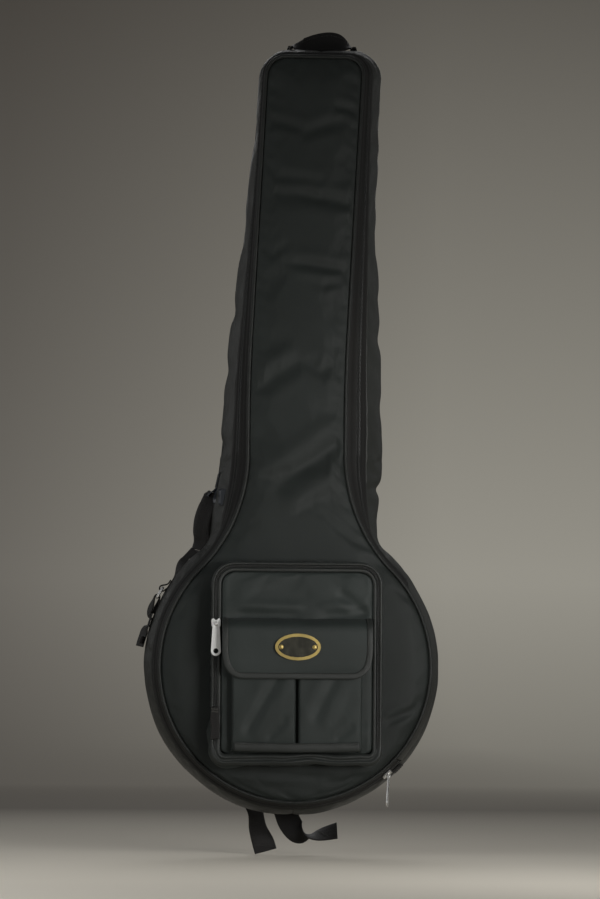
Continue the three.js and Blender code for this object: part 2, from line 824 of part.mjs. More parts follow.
const bindingInset = flapBindingWidth + clearance;
const flapPanelStops = flapStops(bindingInset);
const flapRings = flapPanelStops.map((run) => flapRing(run, bindingInset, flapThickness));
addPiece('flap_panel', loft(flapRings), lidCloth);

// The binding goes down the left edge, along the bottom and up the right edge
function flapBinding() {
  const cornerStart = flapRun - flapCorner;
  const inwardShare = (flapCorner - flapBindingWidth) / flapCorner;
  const lift = (flapBindingThickness - flapThickness) / 2;
  const ringAt = (run, sign) => {
    const stop = run > cornerStart ? cornerStart + (run - cornerStart) * inwardShare : run;
    const outer = sign * flapHalf(run, 0);
    const inner = sign * flapHalf(stop, flapBindingWidth);
    return [
      flapPoint(outer, run, -lift),
      flapPoint(outer, run, flapBindingThickness - lift),
      flapPoint(inner, stop, flapBindingThickness - lift),
      flapPoint(inner, stop, -lift),
    ];
  };
  const stops = flapStops(0);
  return loft([...stops.map((run) => ringAt(run, -1)), ...stops.reverse().map((run) => ringAt(run, 1))]);
}

addPiece('flap_binding', flapBinding(), pipingCloth);
const hookY = doorFaceY - flapStandoff + clearance + stripThickness;
addPiece('flap_hook_strip', strip(-stripOuter, stripOuter, hookY), webbing);

// Oval badge: rim, plain dark face and two rivets
const badgeBackY = doorFaceY - flapStandoff - flapThickness - clearance;
const badgeZ = drumCentre + flapSeam - badgeDrop;

function oval(width, height) {
  const shape = new THREE.Shape();
  shape.absellipse(0, badgeZ, width / 2, height / 2, 0, 2 * Math.PI, false, 0);
  return shape;
}

const badgeRing = oval(badgeWidth, badgeHeight);
badgeRing.holes.push(oval(badgeWidth - 2 * badgeRimWidth, badgeHeight - 2 * badgeRimWidth));
addPiece('badge_rim', frontPlate(badgeRing, badgeBackY, badgeThickness + badgeRimRise, 16), gold);
const faceSpan = 2 * (badgeRimWidth + clearance);
addPiece('badge_face',
  frontPlate(oval(badgeWidth - faceSpan, badgeHeight - faceSpan), badgeBackY, badgeThickness, 16), enamel);

const rivetDomeShares = [[1, 0.4], [0.7, 0.85]];

function rivet(x) {
  const dome = new THREE.LatheGeometry([
    new THREE.Vector2(0, 0),
    new THREE.Vector2(rivetRadius, 0),
    ...rivetDomeShares.map(([out, rise]) => new THREE.Vector2(rivetRadius * out, rivetRise * rise)),
    new THREE.Vector2(0, rivetRise),
  ], 12);
  dome.rotateX(Math.PI);
  dome.translate(x, badgeBackY - badgeThickness - clearance, badgeZ);
  return merged(dome);
}

addPiece('badge_rivet_left', rivet(-rivetSpacing / 2), gold);
addPiece('badge_rivet_right', rivet(rivetSpacing / 2), gold);

// Zip slider and pull, made flat: +Y is up along the zip, +Z points away from the tape

function boxBetween(low, high) {
  const box = new THREE.BoxGeometry(high.x - low.x, high.y - low.y, high.z - low.z);
  box.translate((low.x + high.x) / 2, (low.y + high.y) / 2, (low.z + high.z) / 2);
  return box;
}

const bailInner = bailGap / 2;
const bailOuter = bailInner + bailBar;
const barHeight = sliderPlate + bailInner;

// Right half of the slider's heart shape, from its foot up, as shares of half its width and half its length
const heartShares = [[0.55, -1], [1, -0.35], [1, 0.6], [0.92, 0.85], [0.75, 0.97], [0.5, 1], [0.2, 0.72]];

function sliderBody() {
  const half = sliderWidth / 2;
  const end = sliderLength / 2;
  const rightSide = heartShares.map(([across, up]) => new THREE.Vector2(half * across, end * up));
  const leftSide = rightSide.map((point) => new THREE.Vector2(-point.x, point.y)).reverse();
  const heart = polygon([...rightSide, ...leftSide]);
  const plate = new THREE.ExtrudeGeometry(heart, { depth: sliderPlate, bevelEnabled: false });
  const arch = new THREE.Shape();
  arch.moveTo(-bailOuter, sliderPlate / 2);
  arch.lineTo(-bailOuter, barHeight);
  arch.absarc(0, barHeight, bailOuter, Math.PI, 0, true);
  arch.lineTo(bailOuter, sliderPlate / 2);
  arch.lineTo(bailInner, sliderPlate / 2);
  arch.lineTo(bailInner, barHeight);
  arch.absarc(0, barHeight, bailInner, 0, Math.PI, false);
  arch.lineTo(-bailInner, sliderPlate / 2);
  arch.closePath();
  const bail = new THREE.ExtrudeGeometry(arch, { depth: bailWidth, bevelEnabled: false, curveSegments: 6 });
  bail.translate(0, 0, -bailWidth / 2);
  bail.rotateX(Math.PI / 2);
  bail.rotateZ(Math.PI / 2);
  const legs = merged(bail);
  return joined(plate, legs);
}

function pullTab() {
  const top = pullBar / 2;
  const bottom = top - pullLength;
  const upper = pullTopWidth / 2;
  const lower = pullBottomWidth / 2;
  const shape = new THREE.Shape();
  shape.moveTo(-upper, top);
  shape.lineTo(-lower, bottom + lower);
  shape.absarc(0, bottom + lower, lower, Math.PI, 2 * Math.PI, false);
  shape.lineTo(upper, top);
  shape.closePath();
  const slot = new THREE.Path();
  const half = pullSlotWidth / 2;
  slot.moveTo(-half, -pullBar / 2);
  slot.lineTo(half, -pullBar / 2);
  slot.lineTo(half, -pullBar / 2 - pullSlotLength);
  slot.lineTo(-half, -pullBar / 2 - pullSlotLength);
  slot.closePath();
  const hole = new THREE.Path();
  hole.absarc(0, bottom + lower, pullHoleRadius, 0, 2 * Math.PI, true);
  shape.holes.push(slot, hole);
  const cut = { depth: pullThickness, bevelEnabled: false, curveSegments: 8 };
  const tab = new THREE.ExtrudeGeometry(shape, cut);
  tab.translate(0, 0, -pullThickness / 2);
  return merged(tab);
}

// Puts a flat-made piece at a point, its +Z along out and its +Y along up
function stand(geometry, origin, up, out) {
  const side = new THREE.Vector3().crossVectors(up, out);
  const frame = new THREE.Matrix4().makeBasis(side, up, out).setPosition(origin);
  return merged(geometry.clone().applyMatrix4(frame));
}

const upZ = new THREE.Vector3(0, 0, 1);
const frontward = new THREE.Vector3(0, -1, 0);
const coilX = -pocketWidth / 2 + pocketCoilInset + pocketCoilWidth / 2;
const coilFaceY = borderY - pocketPanelThickness - clearance - zipCoilRise;
const pocketSliderAt = new THREE.Vector3(coilX, coilFaceY - clearance, drumCentre + pocketSliderHeight);
addPiece('pocket_slider', stand(sliderBody(), pocketSliderAt, upZ, frontward), nickel);
const pocketPullAt = pocketSliderAt.clone().addScaledVector(frontward, barHeight);
addPiece('pocket_pull', stand(pullTab(), pocketPullAt, upZ, frontward), nickel);

// The main slider waits at the zip's end, square to the skin, with its pull hanging
const sliderPlaceShare = 0.8;
const stepShare = 0.05;
const sliderPlace = hingeFirst - sliderPlaceShare;
const seamPoint = (stepped) => skinPoint(sliderPlace + stepped, seamY, 0);
const sliderUp = seamPoint(stepShare).sub(seamPoint(-stepShare));
const acrossFrom = skinPoint(sliderPlace, lidSeamY, 0);
const sliderAcross = skinPoint(sliderPlace, lidSeamY + 2 * seamGap, 0).sub(acrossFrom);
const sliderOut = new THREE.Vector3().crossVectors(sliderAcross, sliderUp).normalize();
sliderUp.normalize();
sliderAcross.crossVectors(sliderUp, sliderOut);
const sliderSeat = seamPoint(0).addScaledVector(sliderOut, zipCoilRise + sliderClearance);
addPiece('main_slider', stand(sliderBody(), sliderSeat, sliderUp, sliderOut), nickel);
const mainPullAt = sliderSeat.clone().addScaledVector(sliderOut, barHeight);
const pullUp = upZ.clone().addScaledVector(sliderAcross, -sliderAcross.z).normalize();
const pullOut = new THREE.Vector3().crossVectors(sliderAcross, pullUp);
addPiece('main_pull', stand(pullTab(), mainPullAt, pullUp, pullOut), nickel);

// Ridged tab that covers the zip's end on the lower right gusset
const endTabPlaceShare = 0.4;

function endTab() {
  const place = hingeFirst - endTabPlaceShare;
  const ridgeCount = 2 * endTabRidges;
  const profile = [];
  const first = tapeEndY + clearance;
  const stepAt = outlinePoint(hingeFirst, 0).distanceTo(outlinePoint(hingeFirst + 1, 0));
  const halfPlace = endTabWidth / 2 / stepAt;
  for (let i = 0; i <= ridgeCount; i += 1) {
    const rise = endTabThickness + (i % 2) * endTabRidgeRise;
    profile.push({ place: place - halfPlace + (2 * halfPlace * i) / ridgeCount, rise });
  }
  const ring = (y) => [
    ...profile.map(({ place: at, rise }) => skinPoint(at, y, clearance + rise)),
    ...profile.slice().reverse().map(({ place: at }) => skinPoint(at, y, clearance)),
  ];
  return loft([0, 1, 2, 3].map((step) => ring(first + (endTabLength * step) / 3)));
}

addPiece('zip_end_tab', endTab(), zipTape);

// Carrying handle on the left gusset: two sewn webbing tabs and a padded grip between them

const acrossY = new THREE.Vector3(0, 1, 0);
const flatOf = (point) => new THREE.Vector2(point.x, point.z);

// The place on the left side at a height above the drum's centre
function leftPlace(height) {
  const places = allPlaces.filter((place) => place >= topPlace && place < placeCount);
  const heightAt = (place) => outlinePoint(place, handleDepth).y;
  const place = places.find((at) => heightAt(at) >= height && heightAt(at + 1) < height);
  return place + (heightAt(place) - height) / (heightAt(place) - heightAt(place + 1));
}

const sewnOut = clearance + webbingThickness / 2;
const onLeft = (height, out) => skinPoint(leftPlace(height), handleDepth, out);
const gripTop = onLeft(handleTop, handleLift);
const gripBottom = onLeft(handleBottom, handleLift);
const gripAxis = gripBottom.clone().sub(gripTop).normalize();
const gripOut = new THREE.Vector3(gripAxis.z, 0, -gripAxis.x);

// Webbing sewn flat to the left gusset between two heights, with a stop at each of the outline's points
function sewnPath(upper, lower) {
  const nearShare = 0.1;
  const first = leftPlace(upper) + nearShare;
  const last = leftPlace(lower) - nearShare;
  const between = allPlaces.filter((place) => place > first && place < last);
  return [
    onLeft(upper, sewnOut),
    ...between.map((place) => skinPoint(place, handleDepth, sewnOut)),
    onLeft(lower, sewnOut),
  ];
}

const webbingEnd = ringHeight + ringStandoff * 2;
const upperTabPath = [
  ...sewnPath(handleTop + patchLength, handleTop + patchLength / 3),
  gripTop.clone().addScaledVector(gripAxis, -clearance - handleStraight),
  gripTop.clone().addScaledVector(gripAxis, -clearance),
];
const lowerTabPath = [
  gripBottom.clone().addScaledVector(gripAxis, clearance),
  gripBottom.clone().addScaledVector(gripAxis, clearance + handleStraight),
  ...sewnPath(handleBottom - patchLength / 3, webbingEnd),
];
const sewnTab = (path) => ribbonAcross(path.map(flatOf), webbingThickness, handleDepth, webbingWidth);
addPiece('handle_tab_upper', sewnTab(upperTabPath), webbing);
addPiece('handle_tab_lower', sewnTab(lowerTabPath), webbing);

function grip() {
  const steps = 10;
  const sectionSides = 12;
  const gripEndShare = 0.2;
  const gripCornerShare = 0.7;
  const rings = [];
  for (let i = 0; i <= steps; i += 1) {
    const share = i / steps;
    const body = smooth(Math.min(share, 1 - share) / gripEndShare);
    const centre = gripTop.clone().lerp(gripBottom, share);
    centre.addScaledVector(gripOut, handleArch * Math.sin(Math.PI * share));
    const halfThickness = THREE.MathUtils.lerp(webbingThickness, handleGripThickness, body) / 2;
    const halfWidth = THREE.MathUtils.lerp(webbingWidth, handleGripWidth, body) / 2;
    const size = [halfWidth, halfThickness, gripCornerShare, sectionSides];
    rings.push(sectionRing(centre, acrossY, gripOut, ...size));
  }
  return loft(rings);
}

addPiece('side_handle', grip(), webbing);

// Metal ring held by a folded webbing tab, both turning about Y
const ringAt = onLeft(ringHeight, ringStandoff);
const ringOut = ringAt.clone().sub(onLeft(ringHeight, 0)).normalize();
const ringDown = new THREE.Vector3(ringOut.z, 0, -ringOut.x).multiplyScalar(Math.sign(ringOut.x));

function ringTab() {
  const reach = tabBore + webbingThickness;
  const at = (along, out) => flatOf(
    ringAt.clone().addScaledVector(ringDown, along).addScaledVector(ringOut, out),
  );
  const base = clearance - ringStandoff;
  const loopShares = [[1, 0], [0.7, 0.7], [0, 1], [-0.8, 0.6]];
  const loop = loopShares.map(([along, out]) => [reach * along, reach * out]);
  const corners = [[-3 * reach, base], [reach / 2, base], ...loop,
    [-2 * reach, base + webbingThickness], [-3 * reach, base + webbingThickness]];
  const shape = polygon(corners.map(([along, out]) => at(along, out)));
  const bore = new THREE.Path();
  bore.absarc(ringAt.x, ringAt.z, tabBore, 0, 2 * Math.PI, true);
  shape.holes.push(bore);
  return sidePlate(shape, handleDepth, webbingWidth - ringPlay, 4);
}

addPiece('ring_tab', ringTab(), webbing);

// A closed rectangular loop of round wire: two bars along Y joined by two short sides
function wireLoop(topBar, down, length, innerWidth, radius) {
  const cornerSpans = 3;
  const corner = ringCornerShare * radius;
  const half = innerWidth / 2 + radius;
  const facing = new THREE.Vector3().crossVectors(down, acrossY).normalize();
  const corners = [[1, corner], [1, length - corner], [-1, length - corner], [-1, corner]];
  const rings = corners.flatMap(([side, middle], turn) => {
    const spans = Array.from({ length: cornerSpans + 1 }, (_, i) => i / cornerSpans);
    return spans.map((share) => {
      const angle = ((turn - 1 + share) * Math.PI) / 2;
      const out = acrossY.clone().multiplyScalar(Math.cos(angle)).addScaledVector(down, Math.sin(angle));
      const centre = topBar.clone().addScaledVector(acrossY, side * (half - corner));
      centre.addScaledVector(down, middle).addScaledVector(out, corner);
      return sectionRing(centre, out, facing, radius, radius, 1, tubeSides);
    });
  });
  return loft(rings, true);
}

addPiece('strap_ring', wireLoop(ringAt, ringDown, ringLength, webbingWidth + ringPlay, ringRadius), nickel);

// Strap webbing: from its end up through the slide, round the ring's lower bar and down to the slide
const strapTop = ringAt.clone().addScaledVector(ringDown, ringLength);
const strapFoot = onLeft(ringHeight - strapDropLength, ringStandoff);
const strapDown = strapTop.clone().sub(strapFoot).normalize().negate();
const strapOut = new THREE.Vector3(strapDown.z, 0, -strapDown.x).multiplyScalar(-1);
const strapPoint = (down, out) => flatOf(
  strapTop.clone().addScaledVector(strapDown, down).addScaledVector(strapOut, out),
);

const slantShare = 0.7;

function strapPath() {
  const wrap = ringRadius + clearance + webbingThickness / 2;
  const slant = slantShare * wrap;
  const upperSlot = slideDrop - slideSlotPitch / 2;
  const lowerSlot = slideDrop + slideSlotPitch / 2;
  return [
    [strapDropLength, -slideRise],
    [lowerSlot + strapCross, -slideRise],
    [lowerSlot - strapCross, slideRise],
    [upperSlot + strapCross, slideRise],
    [upperSlot - strapCross, -slideRise],
    [slideRise + wrap, -slideRise],
    [0, -wrap],
    [-slant, -slant],
    [-wrap, 0],
    [-slant, slant],
    [0, wrap],
    [upperSlot - slideSlotHeight, slideRise],
  ].map(([down, out]) => strapPoint(down, out));
}

addPiece('strap_webbing', ribbonAcross(strapPath(), webbingThickness, handleDepth, webbingWidth), webbing);

// Three-bar slide: a plate with two slots
function slideSolid() {
  const sideX = slideWidth / 2;
  const endY = slideLength / 2;
  const plate = roundedRectangle(-sideX, sideX, -endY, endY, slideCorner, slideCorner);
  [-1, 1].forEach((side) => {
    const middle = (side * slideSlotPitch) / 2;
    const half = webbingWidth / 2 + clearance;
    const slot = new THREE.Path();
    slot.moveTo(-half, middle - slideSlotHeight / 2);
    slot.lineTo(-half, middle + slideSlotHeight / 2);
    slot.lineTo(half, middle + slideSlotHeight / 2);
    slot.lineTo(half, middle - slideSlotHeight / 2);
    slot.closePath();
    plate.holes.push(slot);
  });
  const cut = { depth: slideThickness, bevelEnabled: false, curveSegments: 2 };
  const body = new THREE.ExtrudeGeometry(plate, cut);
  body.translate(0, 0, -slideThickness / 2);
  const centre = strapTop.clone().addScaledVector(strapDown, slideDrop);
  centre.y = handleDepth;
  return stand(body, centre, strapDown.clone().negate(), strapOut);
}

addPiece('tri_glide', slideSolid(), blackPlastic);

// Keeper: a small closed loop round the strap's end
function keeper() {
  const inner = webbingThickness / 2 + clearance;
  const outer = inner + keeperThickness;
  const halfInner = webbingWidth / 2 + clearance;
  const halfOuter = halfInner + keeperThickness;
  const rings = [keeperDrop, keeperDrop + keeperLength].map((down) => {
    const middle = strapTop.clone().addScaledVector(strapDown, down).addScaledVector(strapOut, -slideRise);
    const at = (y, out) => middle.clone().addScaledVector(strapOut, out).setY(handleDepth + y);
    return {
      outside: [at(-halfOuter, -outer), at(halfOuter, -outer), at(halfOuter, outer), at(-halfOuter, outer)],
      inside: [at(-halfInner, -inner), at(halfInner, -inner), at(halfInner, inner), at(-halfInner, inner)],
    };
  });
  const [low, high] = rings;
  return loft([low.outside, high.outside, high.inside, low.inside], true);
}

addPiece('strap_keeper', keeper(), webbing);

// Haul handle on the neck end: two sewn feet and an arch of doubled webbing
const haulDepth = handleDepth;
const haulMiddle = skinPoint(topPlace, haulDepth, 0).x;
const haulHalf = haulSpan / 2;

// A point over the neck end at a distance to the side of its middle
function topSkin(side, out) {
  const xAt = (place) => skinPoint(place, haulDepth, 0).x;
  const x = haulMiddle + side;
  const atTop = (at) => Math.abs(at - topPlace) <= cornerSteps + 1;
  const place = allPlaces.find((at) => atTop(at) && xAt(at) >= x && xAt(at + 1) < x);
  const share = (xAt(place) - x) / (xAt(place) - xAt(place + 1));
  return flatOf(skinPoint(place + share, haulDepth, out));
}

const moved = (point, along, rise) => new THREE.Vector2(point.x + along, point.y + rise);
const haulEnds = [-1, 1].map((side) => moved(topSkin(side * haulHalf, sewnOut), 0, haulLift));

[-1, 1].forEach((side, i) => {
  const footShares = [1, 2 / 3, 1 / 3];
  const foot = [
    ...footShares.map((share) => topSkin(side * (haulHalf + haulFoot * share), sewnOut)),
    moved(haulEnds[i], side * (clearance + haulStraight), 0),
    moved(haulEnds[i], side * clearance, 0),
  ];
  const name = side < 0 ? 'haul_foot_left' : 'haul_foot_right';
  addPiece(name, ribbonAcross(foot, webbingThickness, haulDepth, webbingWidth), webbing);
});

function haulArch() {
  const steps = 10;
  const archShare = 0.8;
  const [left, right] = haulEnds;
  const path = [left, moved(left, haulStraight, 0)];
  for (let i = 1; i < steps; i += 1) {
    const share = i / steps;
    const warped = share ** (Math.log(1 / 2) / Math.log(haulPeakShare));
    const rise = haulRise * Math.sin(Math.PI * warped) ** archShare;
    path.push(moved(left.clone().lerp(right, share), 0, rise));
  }
  return [...path, moved(right, -haulStraight, 0), right];
}

addPiece('haul_handle', ribbonAcross(haulArch(), haulThickness, haulDepth, webbingWidth), webbing);

// Shoulder straps on the back
const yokeY = backY + clearance;
const yokeTopZ = drumCentre + yokeHeight;

function backPlate(shape, frontFace, thickness, curveSegments = 6) {
  return frontPlate(shape, frontFace + thickness, thickness, curveSegments);
}

const yokeSide = yokeWidth / 2;
const yokeShape = roundedRectangle(-yokeSide, yokeSide, yokeTopZ - yokeDrop, yokeTopZ, yokeLowerCorner,
  yokeUpperCorner);
addPiece('strap_yoke', backPlate(yokeShape, yokeY, yokeThickness), gussetCloth);

const padTopZ = yokeTopZ - yokeDrop - clearance;
const lockFrontY = yokeY + 2 * (webbingThickness + clearance);
const lockBackY = lockFrontY + lockThickness;
const padStopShares = [0, 0.06, 0.16, 0.4, 0.65, 0.85, 0.95, 1];
const padEndShare = 0.35;
const padEndRunShare = 0.08;
const padCornerShare = 0.75;
const padBottomX = (side) => padBottomShift + side * padBottomSpread;

function shoulderPad(side) {
  const lockMiddleY = lockFrontY + lockThickness / 2;
  const rings = padStopShares.map((share) => {
    const x = THREE.MathUtils.lerp(side * padTopSpread, padBottomX(side), smooth(share));
    const z = THREE.MathUtils.lerp(padTopZ, drumCentre + padBottom, share);
    const ease = Math.min(1, padEndShare + Math.min(share, 1 - share) / padEndRunShare);
    const tapered = THREE.MathUtils.lerp(padWidth, padTaperWidth, smooth(share));
    const width = tapered * Math.min(1, ease + padEndShare);
    const restingY = yokeY + (padThickness / 2) * ease;
    const middleY = Math.max(restingY, THREE.MathUtils.lerp(yokeY, lockMiddleY, share));
    const centre = new THREE.Vector3(x, middleY, z);
    return sectionRing(centre, new THREE.Vector3(1, 0, 0), acrossY, width / 2, (padThickness / 2) * ease,
      padCornerShare, 12);
  });
  return loft(rings);
}

const lockTopZ = drumCentre + padBottom - clearance;
const lockSlotShares = [0.3, 0.7];

function ladderLock(side) {
  const x = padBottomX(side);
  const sideX = lockWidth / 2;
  const bottomZ = lockTopZ - lockHeight;
  const shape = roundedRectangle(x - sideX, x + sideX, bottomZ, lockTopZ, lockCorner, lockCorner);
  const half = strapWidth / 2 + clearance;
  lockSlotShares.forEach((share) => {
    const middle = lockTopZ - lockHeight * share;
    const slot = new THREE.Path();
    slot.moveTo(x - half, middle - lockSlot / 2);
    slot.lineTo(x - half, middle + lockSlot / 2);
    slot.lineTo(x + half, middle + lockSlot / 2);
    slot.lineTo(x + half, middle - lockSlot / 2);
    slot.closePath();
    shape.holes.push(slot);
  });
  return backPlate(shape, lockFrontY, lockThickness);
}

const sides = [{ side: -1, label: 'left' }, { side: 1, label: 'right' }];

sides.forEach(({ side, label }) => {
  addPiece(`shoulder_pad_${label}`, shoulderPad(side), lidCloth);
  addPiece(`ladder_lock_${label}`, ladderLock(side), blackPlastic);
});

// Webbing as a row of stops, each with its middle and the direction of its width
function ribbonThrough(stops, width, thickness) {
  const rings = stops.map(({ middle, across }, i) => {
    const before = stops[Math.max(i - 1, 0)].middle;
    const after = stops[Math.min(i + 1, stops.length - 1)].middle;
    const out = after.clone().sub(before).cross(across).normalize();
    const reach = across.clone().normalize().multiplyScalar(width / 2);
    return [[-1, -1], [1, -1], [1, 1], [-1, 1]].map(([along, face]) => (
      middle.clone().addScaledVector(reach, along).addScaledVector(out, (face * thickness) / 2)
    ));
  });
  return loft(rings);
}

// Lower webbing: a patch sewn low on the back, and webbing that bends up to end under the ladder lock
const lowerSteps = 6;
const lowerBendShares = [0.8, 0.45];
const anchorEndShare = 0.4;

function lowerCurve(side) {
  const anchor = new THREE.Vector2(side * anchorSpread, drumCentre + anchorHeight);
  const lock = new THREE.Vector2(padBottomX(side), lockTopZ - lockHeight + lockSlot);
  const [xShare, zShare] = lowerBendShares;
  const bend = new THREE.Vector2(THREE.MathUtils.lerp(anchor.x, lock.x, xShare),
    THREE.MathUtils.lerp(anchor.y, lock.y, zShare));
  return new THREE.QuadraticBezierCurve(anchor, bend, lock);
}

function lowerRibbon(curve, first, last, steps, middleY, width) {
  const stops = Array.from({ length: steps + 1 }, (_, i) => THREE.MathUtils.lerp(first, last, i / steps));
  return ribbonThrough(stops.map((share) => {
    const point = curve.getPoint(share);
    const along = curve.getTangent(share);
    return {
      middle: new THREE.Vector3(point.x, middleY, point.y),
      across: new THREE.Vector3(along.y, 0, -along.x),
    };
  }), width, webbingThickness);
}

sides.forEach(({ side, label }) => {
  const curve = lowerCurve(side);
  const patchShare = patchLength / curve.getLength();
  const patchY = yokeY + webbingThickness / 2;
  const upperY = patchY + webbingThickness + clearance;
  const patch = lowerRibbon(curve, 0, patchShare, 2, patchY, strapWidth);
  const firstShare = patchShare * anchorEndShare;
  const rise = lowerRibbon(curve, firstShare, 1, lowerSteps, upperY, strapWidth - 2 * clearance);
  addPiece(`lower_anchor_${label}`, patch, webbing);
  addPiece(`lower_webbing_${label}`, rise, webbing);
});

// Free ends of the webbing: out through the upper slot, over the bars and down below the drum
const tailFaceY = lockBackY + clearance + webbingThickness / 2;
const tailSlotZ = lockTopZ - lockHeight * lockSlotShares[0];
function strapTail(side, rows, turns) {
  const x = padBottomX(side);
  const widthways = new THREE.Vector3(1, 0, 0);
  const slotY = lockFrontY + lockThickness / 2;
  const turn = (lockSlot - webbingThickness) / 2;
  const top = [
    [slotY, tailSlotZ + turn / 3],
    [lockBackY + turn, tailSlotZ],
    [tailFaceY, tailSlotZ - lockSlot],
  ];
  const head = top.map(([y, z]) => ({ middle: new THREE.Vector3(x, y, z), across: widthways }));
  const hanging = rows.map(([across, back, up], i) => ({
    middle: new THREE.Vector3(across, tailFaceY + back, up),
    across: new THREE.Vector3(...turns[i]),
  }));
  return ribbonThrough([...head, ...hanging], strapWidth - 2 * clearance, webbingThickness);
}

addPiece('strap_tail_left', strapTail(-1, leftTailStops, leftTailTurnShares), webbing);
addPiece('strap_tail_right', strapTail(1, rightTailStops, rightTailTurnShares), webbing);

// Inside: foam cradle for the instrument's neck, with a webbing strap across its channel
const cradleBackY = liningY - liningThickness - clearance;
const channelFloorShare = 0.8;
const cradleX = lean(cradleHeight) + widestShare * shiftAt(cradleHeight);
const cradleFrontY = cradleBackY - cradleDepth;

function cradle() {
  const half = cradleWidth / 2;
  const channel = channelWidth / 2;
  const floorY = cradleFrontY + channelDepth;
  const rightSide = [
    [channel * channelFloorShare, floorY],
    [channel, cradleFrontY],
    [half, cradleFrontY],
    [half, cradleBackY],
  ];
  const leftSide = rightSide.map(([x, y]) => [-x, y]).reverse();
  const outline = [...rightSide, ...leftSide];
  const shape = polygon(outline.map(([x, y]) => new THREE.Vector2(cradleX + x, y)));
  const block = new THREE.ExtrudeGeometry(shape, { depth: cradleLength, bevelEnabled: false });
  block.translate(0, 0, drumCentre + cradleHeight - cradleLength / 2);
  return merged(block);
}

addPiece('neck_cradle', cradle(), blackFoam);
const neckStrapHalf = cradleWidth / 2 - webbingThickness;
const neckStrap = barPlate(cradleX - neckStrapHalf, cradleX + neckStrapHalf,
  cradleHeight - neckStrapWidth / 2, neckStrapWidth, cradleFrontY - clearance, webbingThickness);
addPiece('neck_strap', neckStrap, webbing);

export default group;
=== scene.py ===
"""A padded soft case for a banjo: round drum, long neck, front pockets, webbing handles and shoulder straps.

Every soft piece is modelled and dressed here over the CAD frame. The metal and plastic pieces of the frame
stay, with a finish of their own. Metres, +Z up along the neck, the lid faces -Y.
"""
import logging
import math
from dataclasses import dataclass
from enum import Enum
from functools import lru_cache
from typing import Callable, Iterable, Sequence

import bmesh
import bpy
from mathutils import Matrix, Vector, noise
from mathutils.kdtree import KDTree


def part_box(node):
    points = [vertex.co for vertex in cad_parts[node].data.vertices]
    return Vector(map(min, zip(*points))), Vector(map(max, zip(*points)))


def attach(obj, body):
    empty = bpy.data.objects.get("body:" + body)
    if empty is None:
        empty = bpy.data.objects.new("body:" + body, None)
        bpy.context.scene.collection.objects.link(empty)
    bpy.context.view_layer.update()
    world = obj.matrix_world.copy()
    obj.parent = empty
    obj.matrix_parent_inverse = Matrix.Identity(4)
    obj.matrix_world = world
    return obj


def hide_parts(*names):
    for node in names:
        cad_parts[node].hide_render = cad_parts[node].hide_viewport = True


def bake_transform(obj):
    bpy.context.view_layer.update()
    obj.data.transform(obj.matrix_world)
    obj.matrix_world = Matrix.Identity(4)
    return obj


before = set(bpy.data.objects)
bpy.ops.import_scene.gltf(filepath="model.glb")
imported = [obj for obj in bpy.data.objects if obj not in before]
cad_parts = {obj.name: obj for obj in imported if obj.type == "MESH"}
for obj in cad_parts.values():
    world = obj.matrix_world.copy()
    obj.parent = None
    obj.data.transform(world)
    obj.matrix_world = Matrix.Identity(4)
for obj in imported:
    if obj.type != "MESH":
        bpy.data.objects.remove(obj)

logging.basicConfig(level=logging.INFO, format="%(message)s")
log = logging.getLogger("case")

Pair = tuple[float, float]
Triple = tuple[float, float, float]
Place = Callable[[float, float], Vector]
Away = Callable[[Vector], Vector]


class Body(str, Enum):
    """The moving bodies of the frame that this script dresses."""

    SHELL = "shell"
    LID = "lid"
    POCKET_DOOR = "pocket_door"
    FLAP = "flap"
    SIDE_HANDLE = "side_handle"
    HAUL_HANDLE = "haul_handle"
    STRAP_DROP = "strap_drop"
    SHOULDER_LEFT = "shoulder_left"
    SHOULDER_RIGHT = "shoulder_right"
    TAIL_LEFT = "tail_left"
    TAIL_RIGHT = "tail_right"
    NECK_STRAP = "neck_strap"


class Weave(Enum):
    """How the yarns of a cloth cross."""

    PLAIN = "plain"
    TWILL = "twill"
    WEBBING = "webbing"
    PLUSH = "plush"
    COIL = "coil"


# Shader work


class Value:
    """A shader socket that takes part in sums: each operation adds one Math node."""

    def __init__(self, tree: bpy.types.NodeTree, socket: bpy.types.NodeSocket) -> None:
        """Holds the socket and the tree that it belongs to."""
        self.tree = tree
        self.socket = socket

    def _math(self, operation: str, *others: "Value | float", flipped: bool = False, clamp: bool = False) -> "Value":
        """Adds one Math node.

        Args:
            operation: the node's operation.
            others: the further inputs, as wrapped sockets or numbers.
            flipped: whether this socket is the second input.
            clamp: whether the result is held from 0 to 1.

        Returns:
            The wrapped result.
        """
        node = self.tree.nodes.new("ShaderNodeMath")
        node.operation = operation
        node.use_clamp = clamp
        inputs = [self, *others]
        if flipped:
            inputs.reverse()
        for slot, value in zip(node.inputs, inputs):
            plug(self.tree, slot, value)
        return Value(self.tree, node.outputs[0])

    def __add__(self, other: "Value | float") -> "Value":
        """This value and another."""
        return self._math("ADD", other)

    __radd__ = __add__

    def __sub__(self, other: "Value | float") -> "Value":
        """This value less another."""
        return self._math("SUBTRACT", other)

    def __rsub__(self, other: "Value | float") -> "Value":
        """Another value less this one."""
        return self._math("SUBTRACT", other, flipped=True)

    def __mul__(self, other: "Value | float") -> "Value":
        """This value times another."""
        return self._math("MULTIPLY", other)

    __rmul__ = __mul__

    def __truediv__(self, other: "Value | float") -> "Value":
        """This value over another."""
        return self._math("DIVIDE", other)

    def sine(self) -> "Value":
        """The sine of this value."""
        return self._math("SINE")

    def held(self) -> "Value":
        """This value held from 0 to 1."""
        return self._math("ADD", 0.0, clamp=True)

    def above(self, edge: float, softness: float) -> "Value":
        """0 below an edge and 1 above it, with a soft step."""
        return ((self - edge) / softness).held()


Fed = Value | bpy.types.NodeSocket | float | Sequence[float]


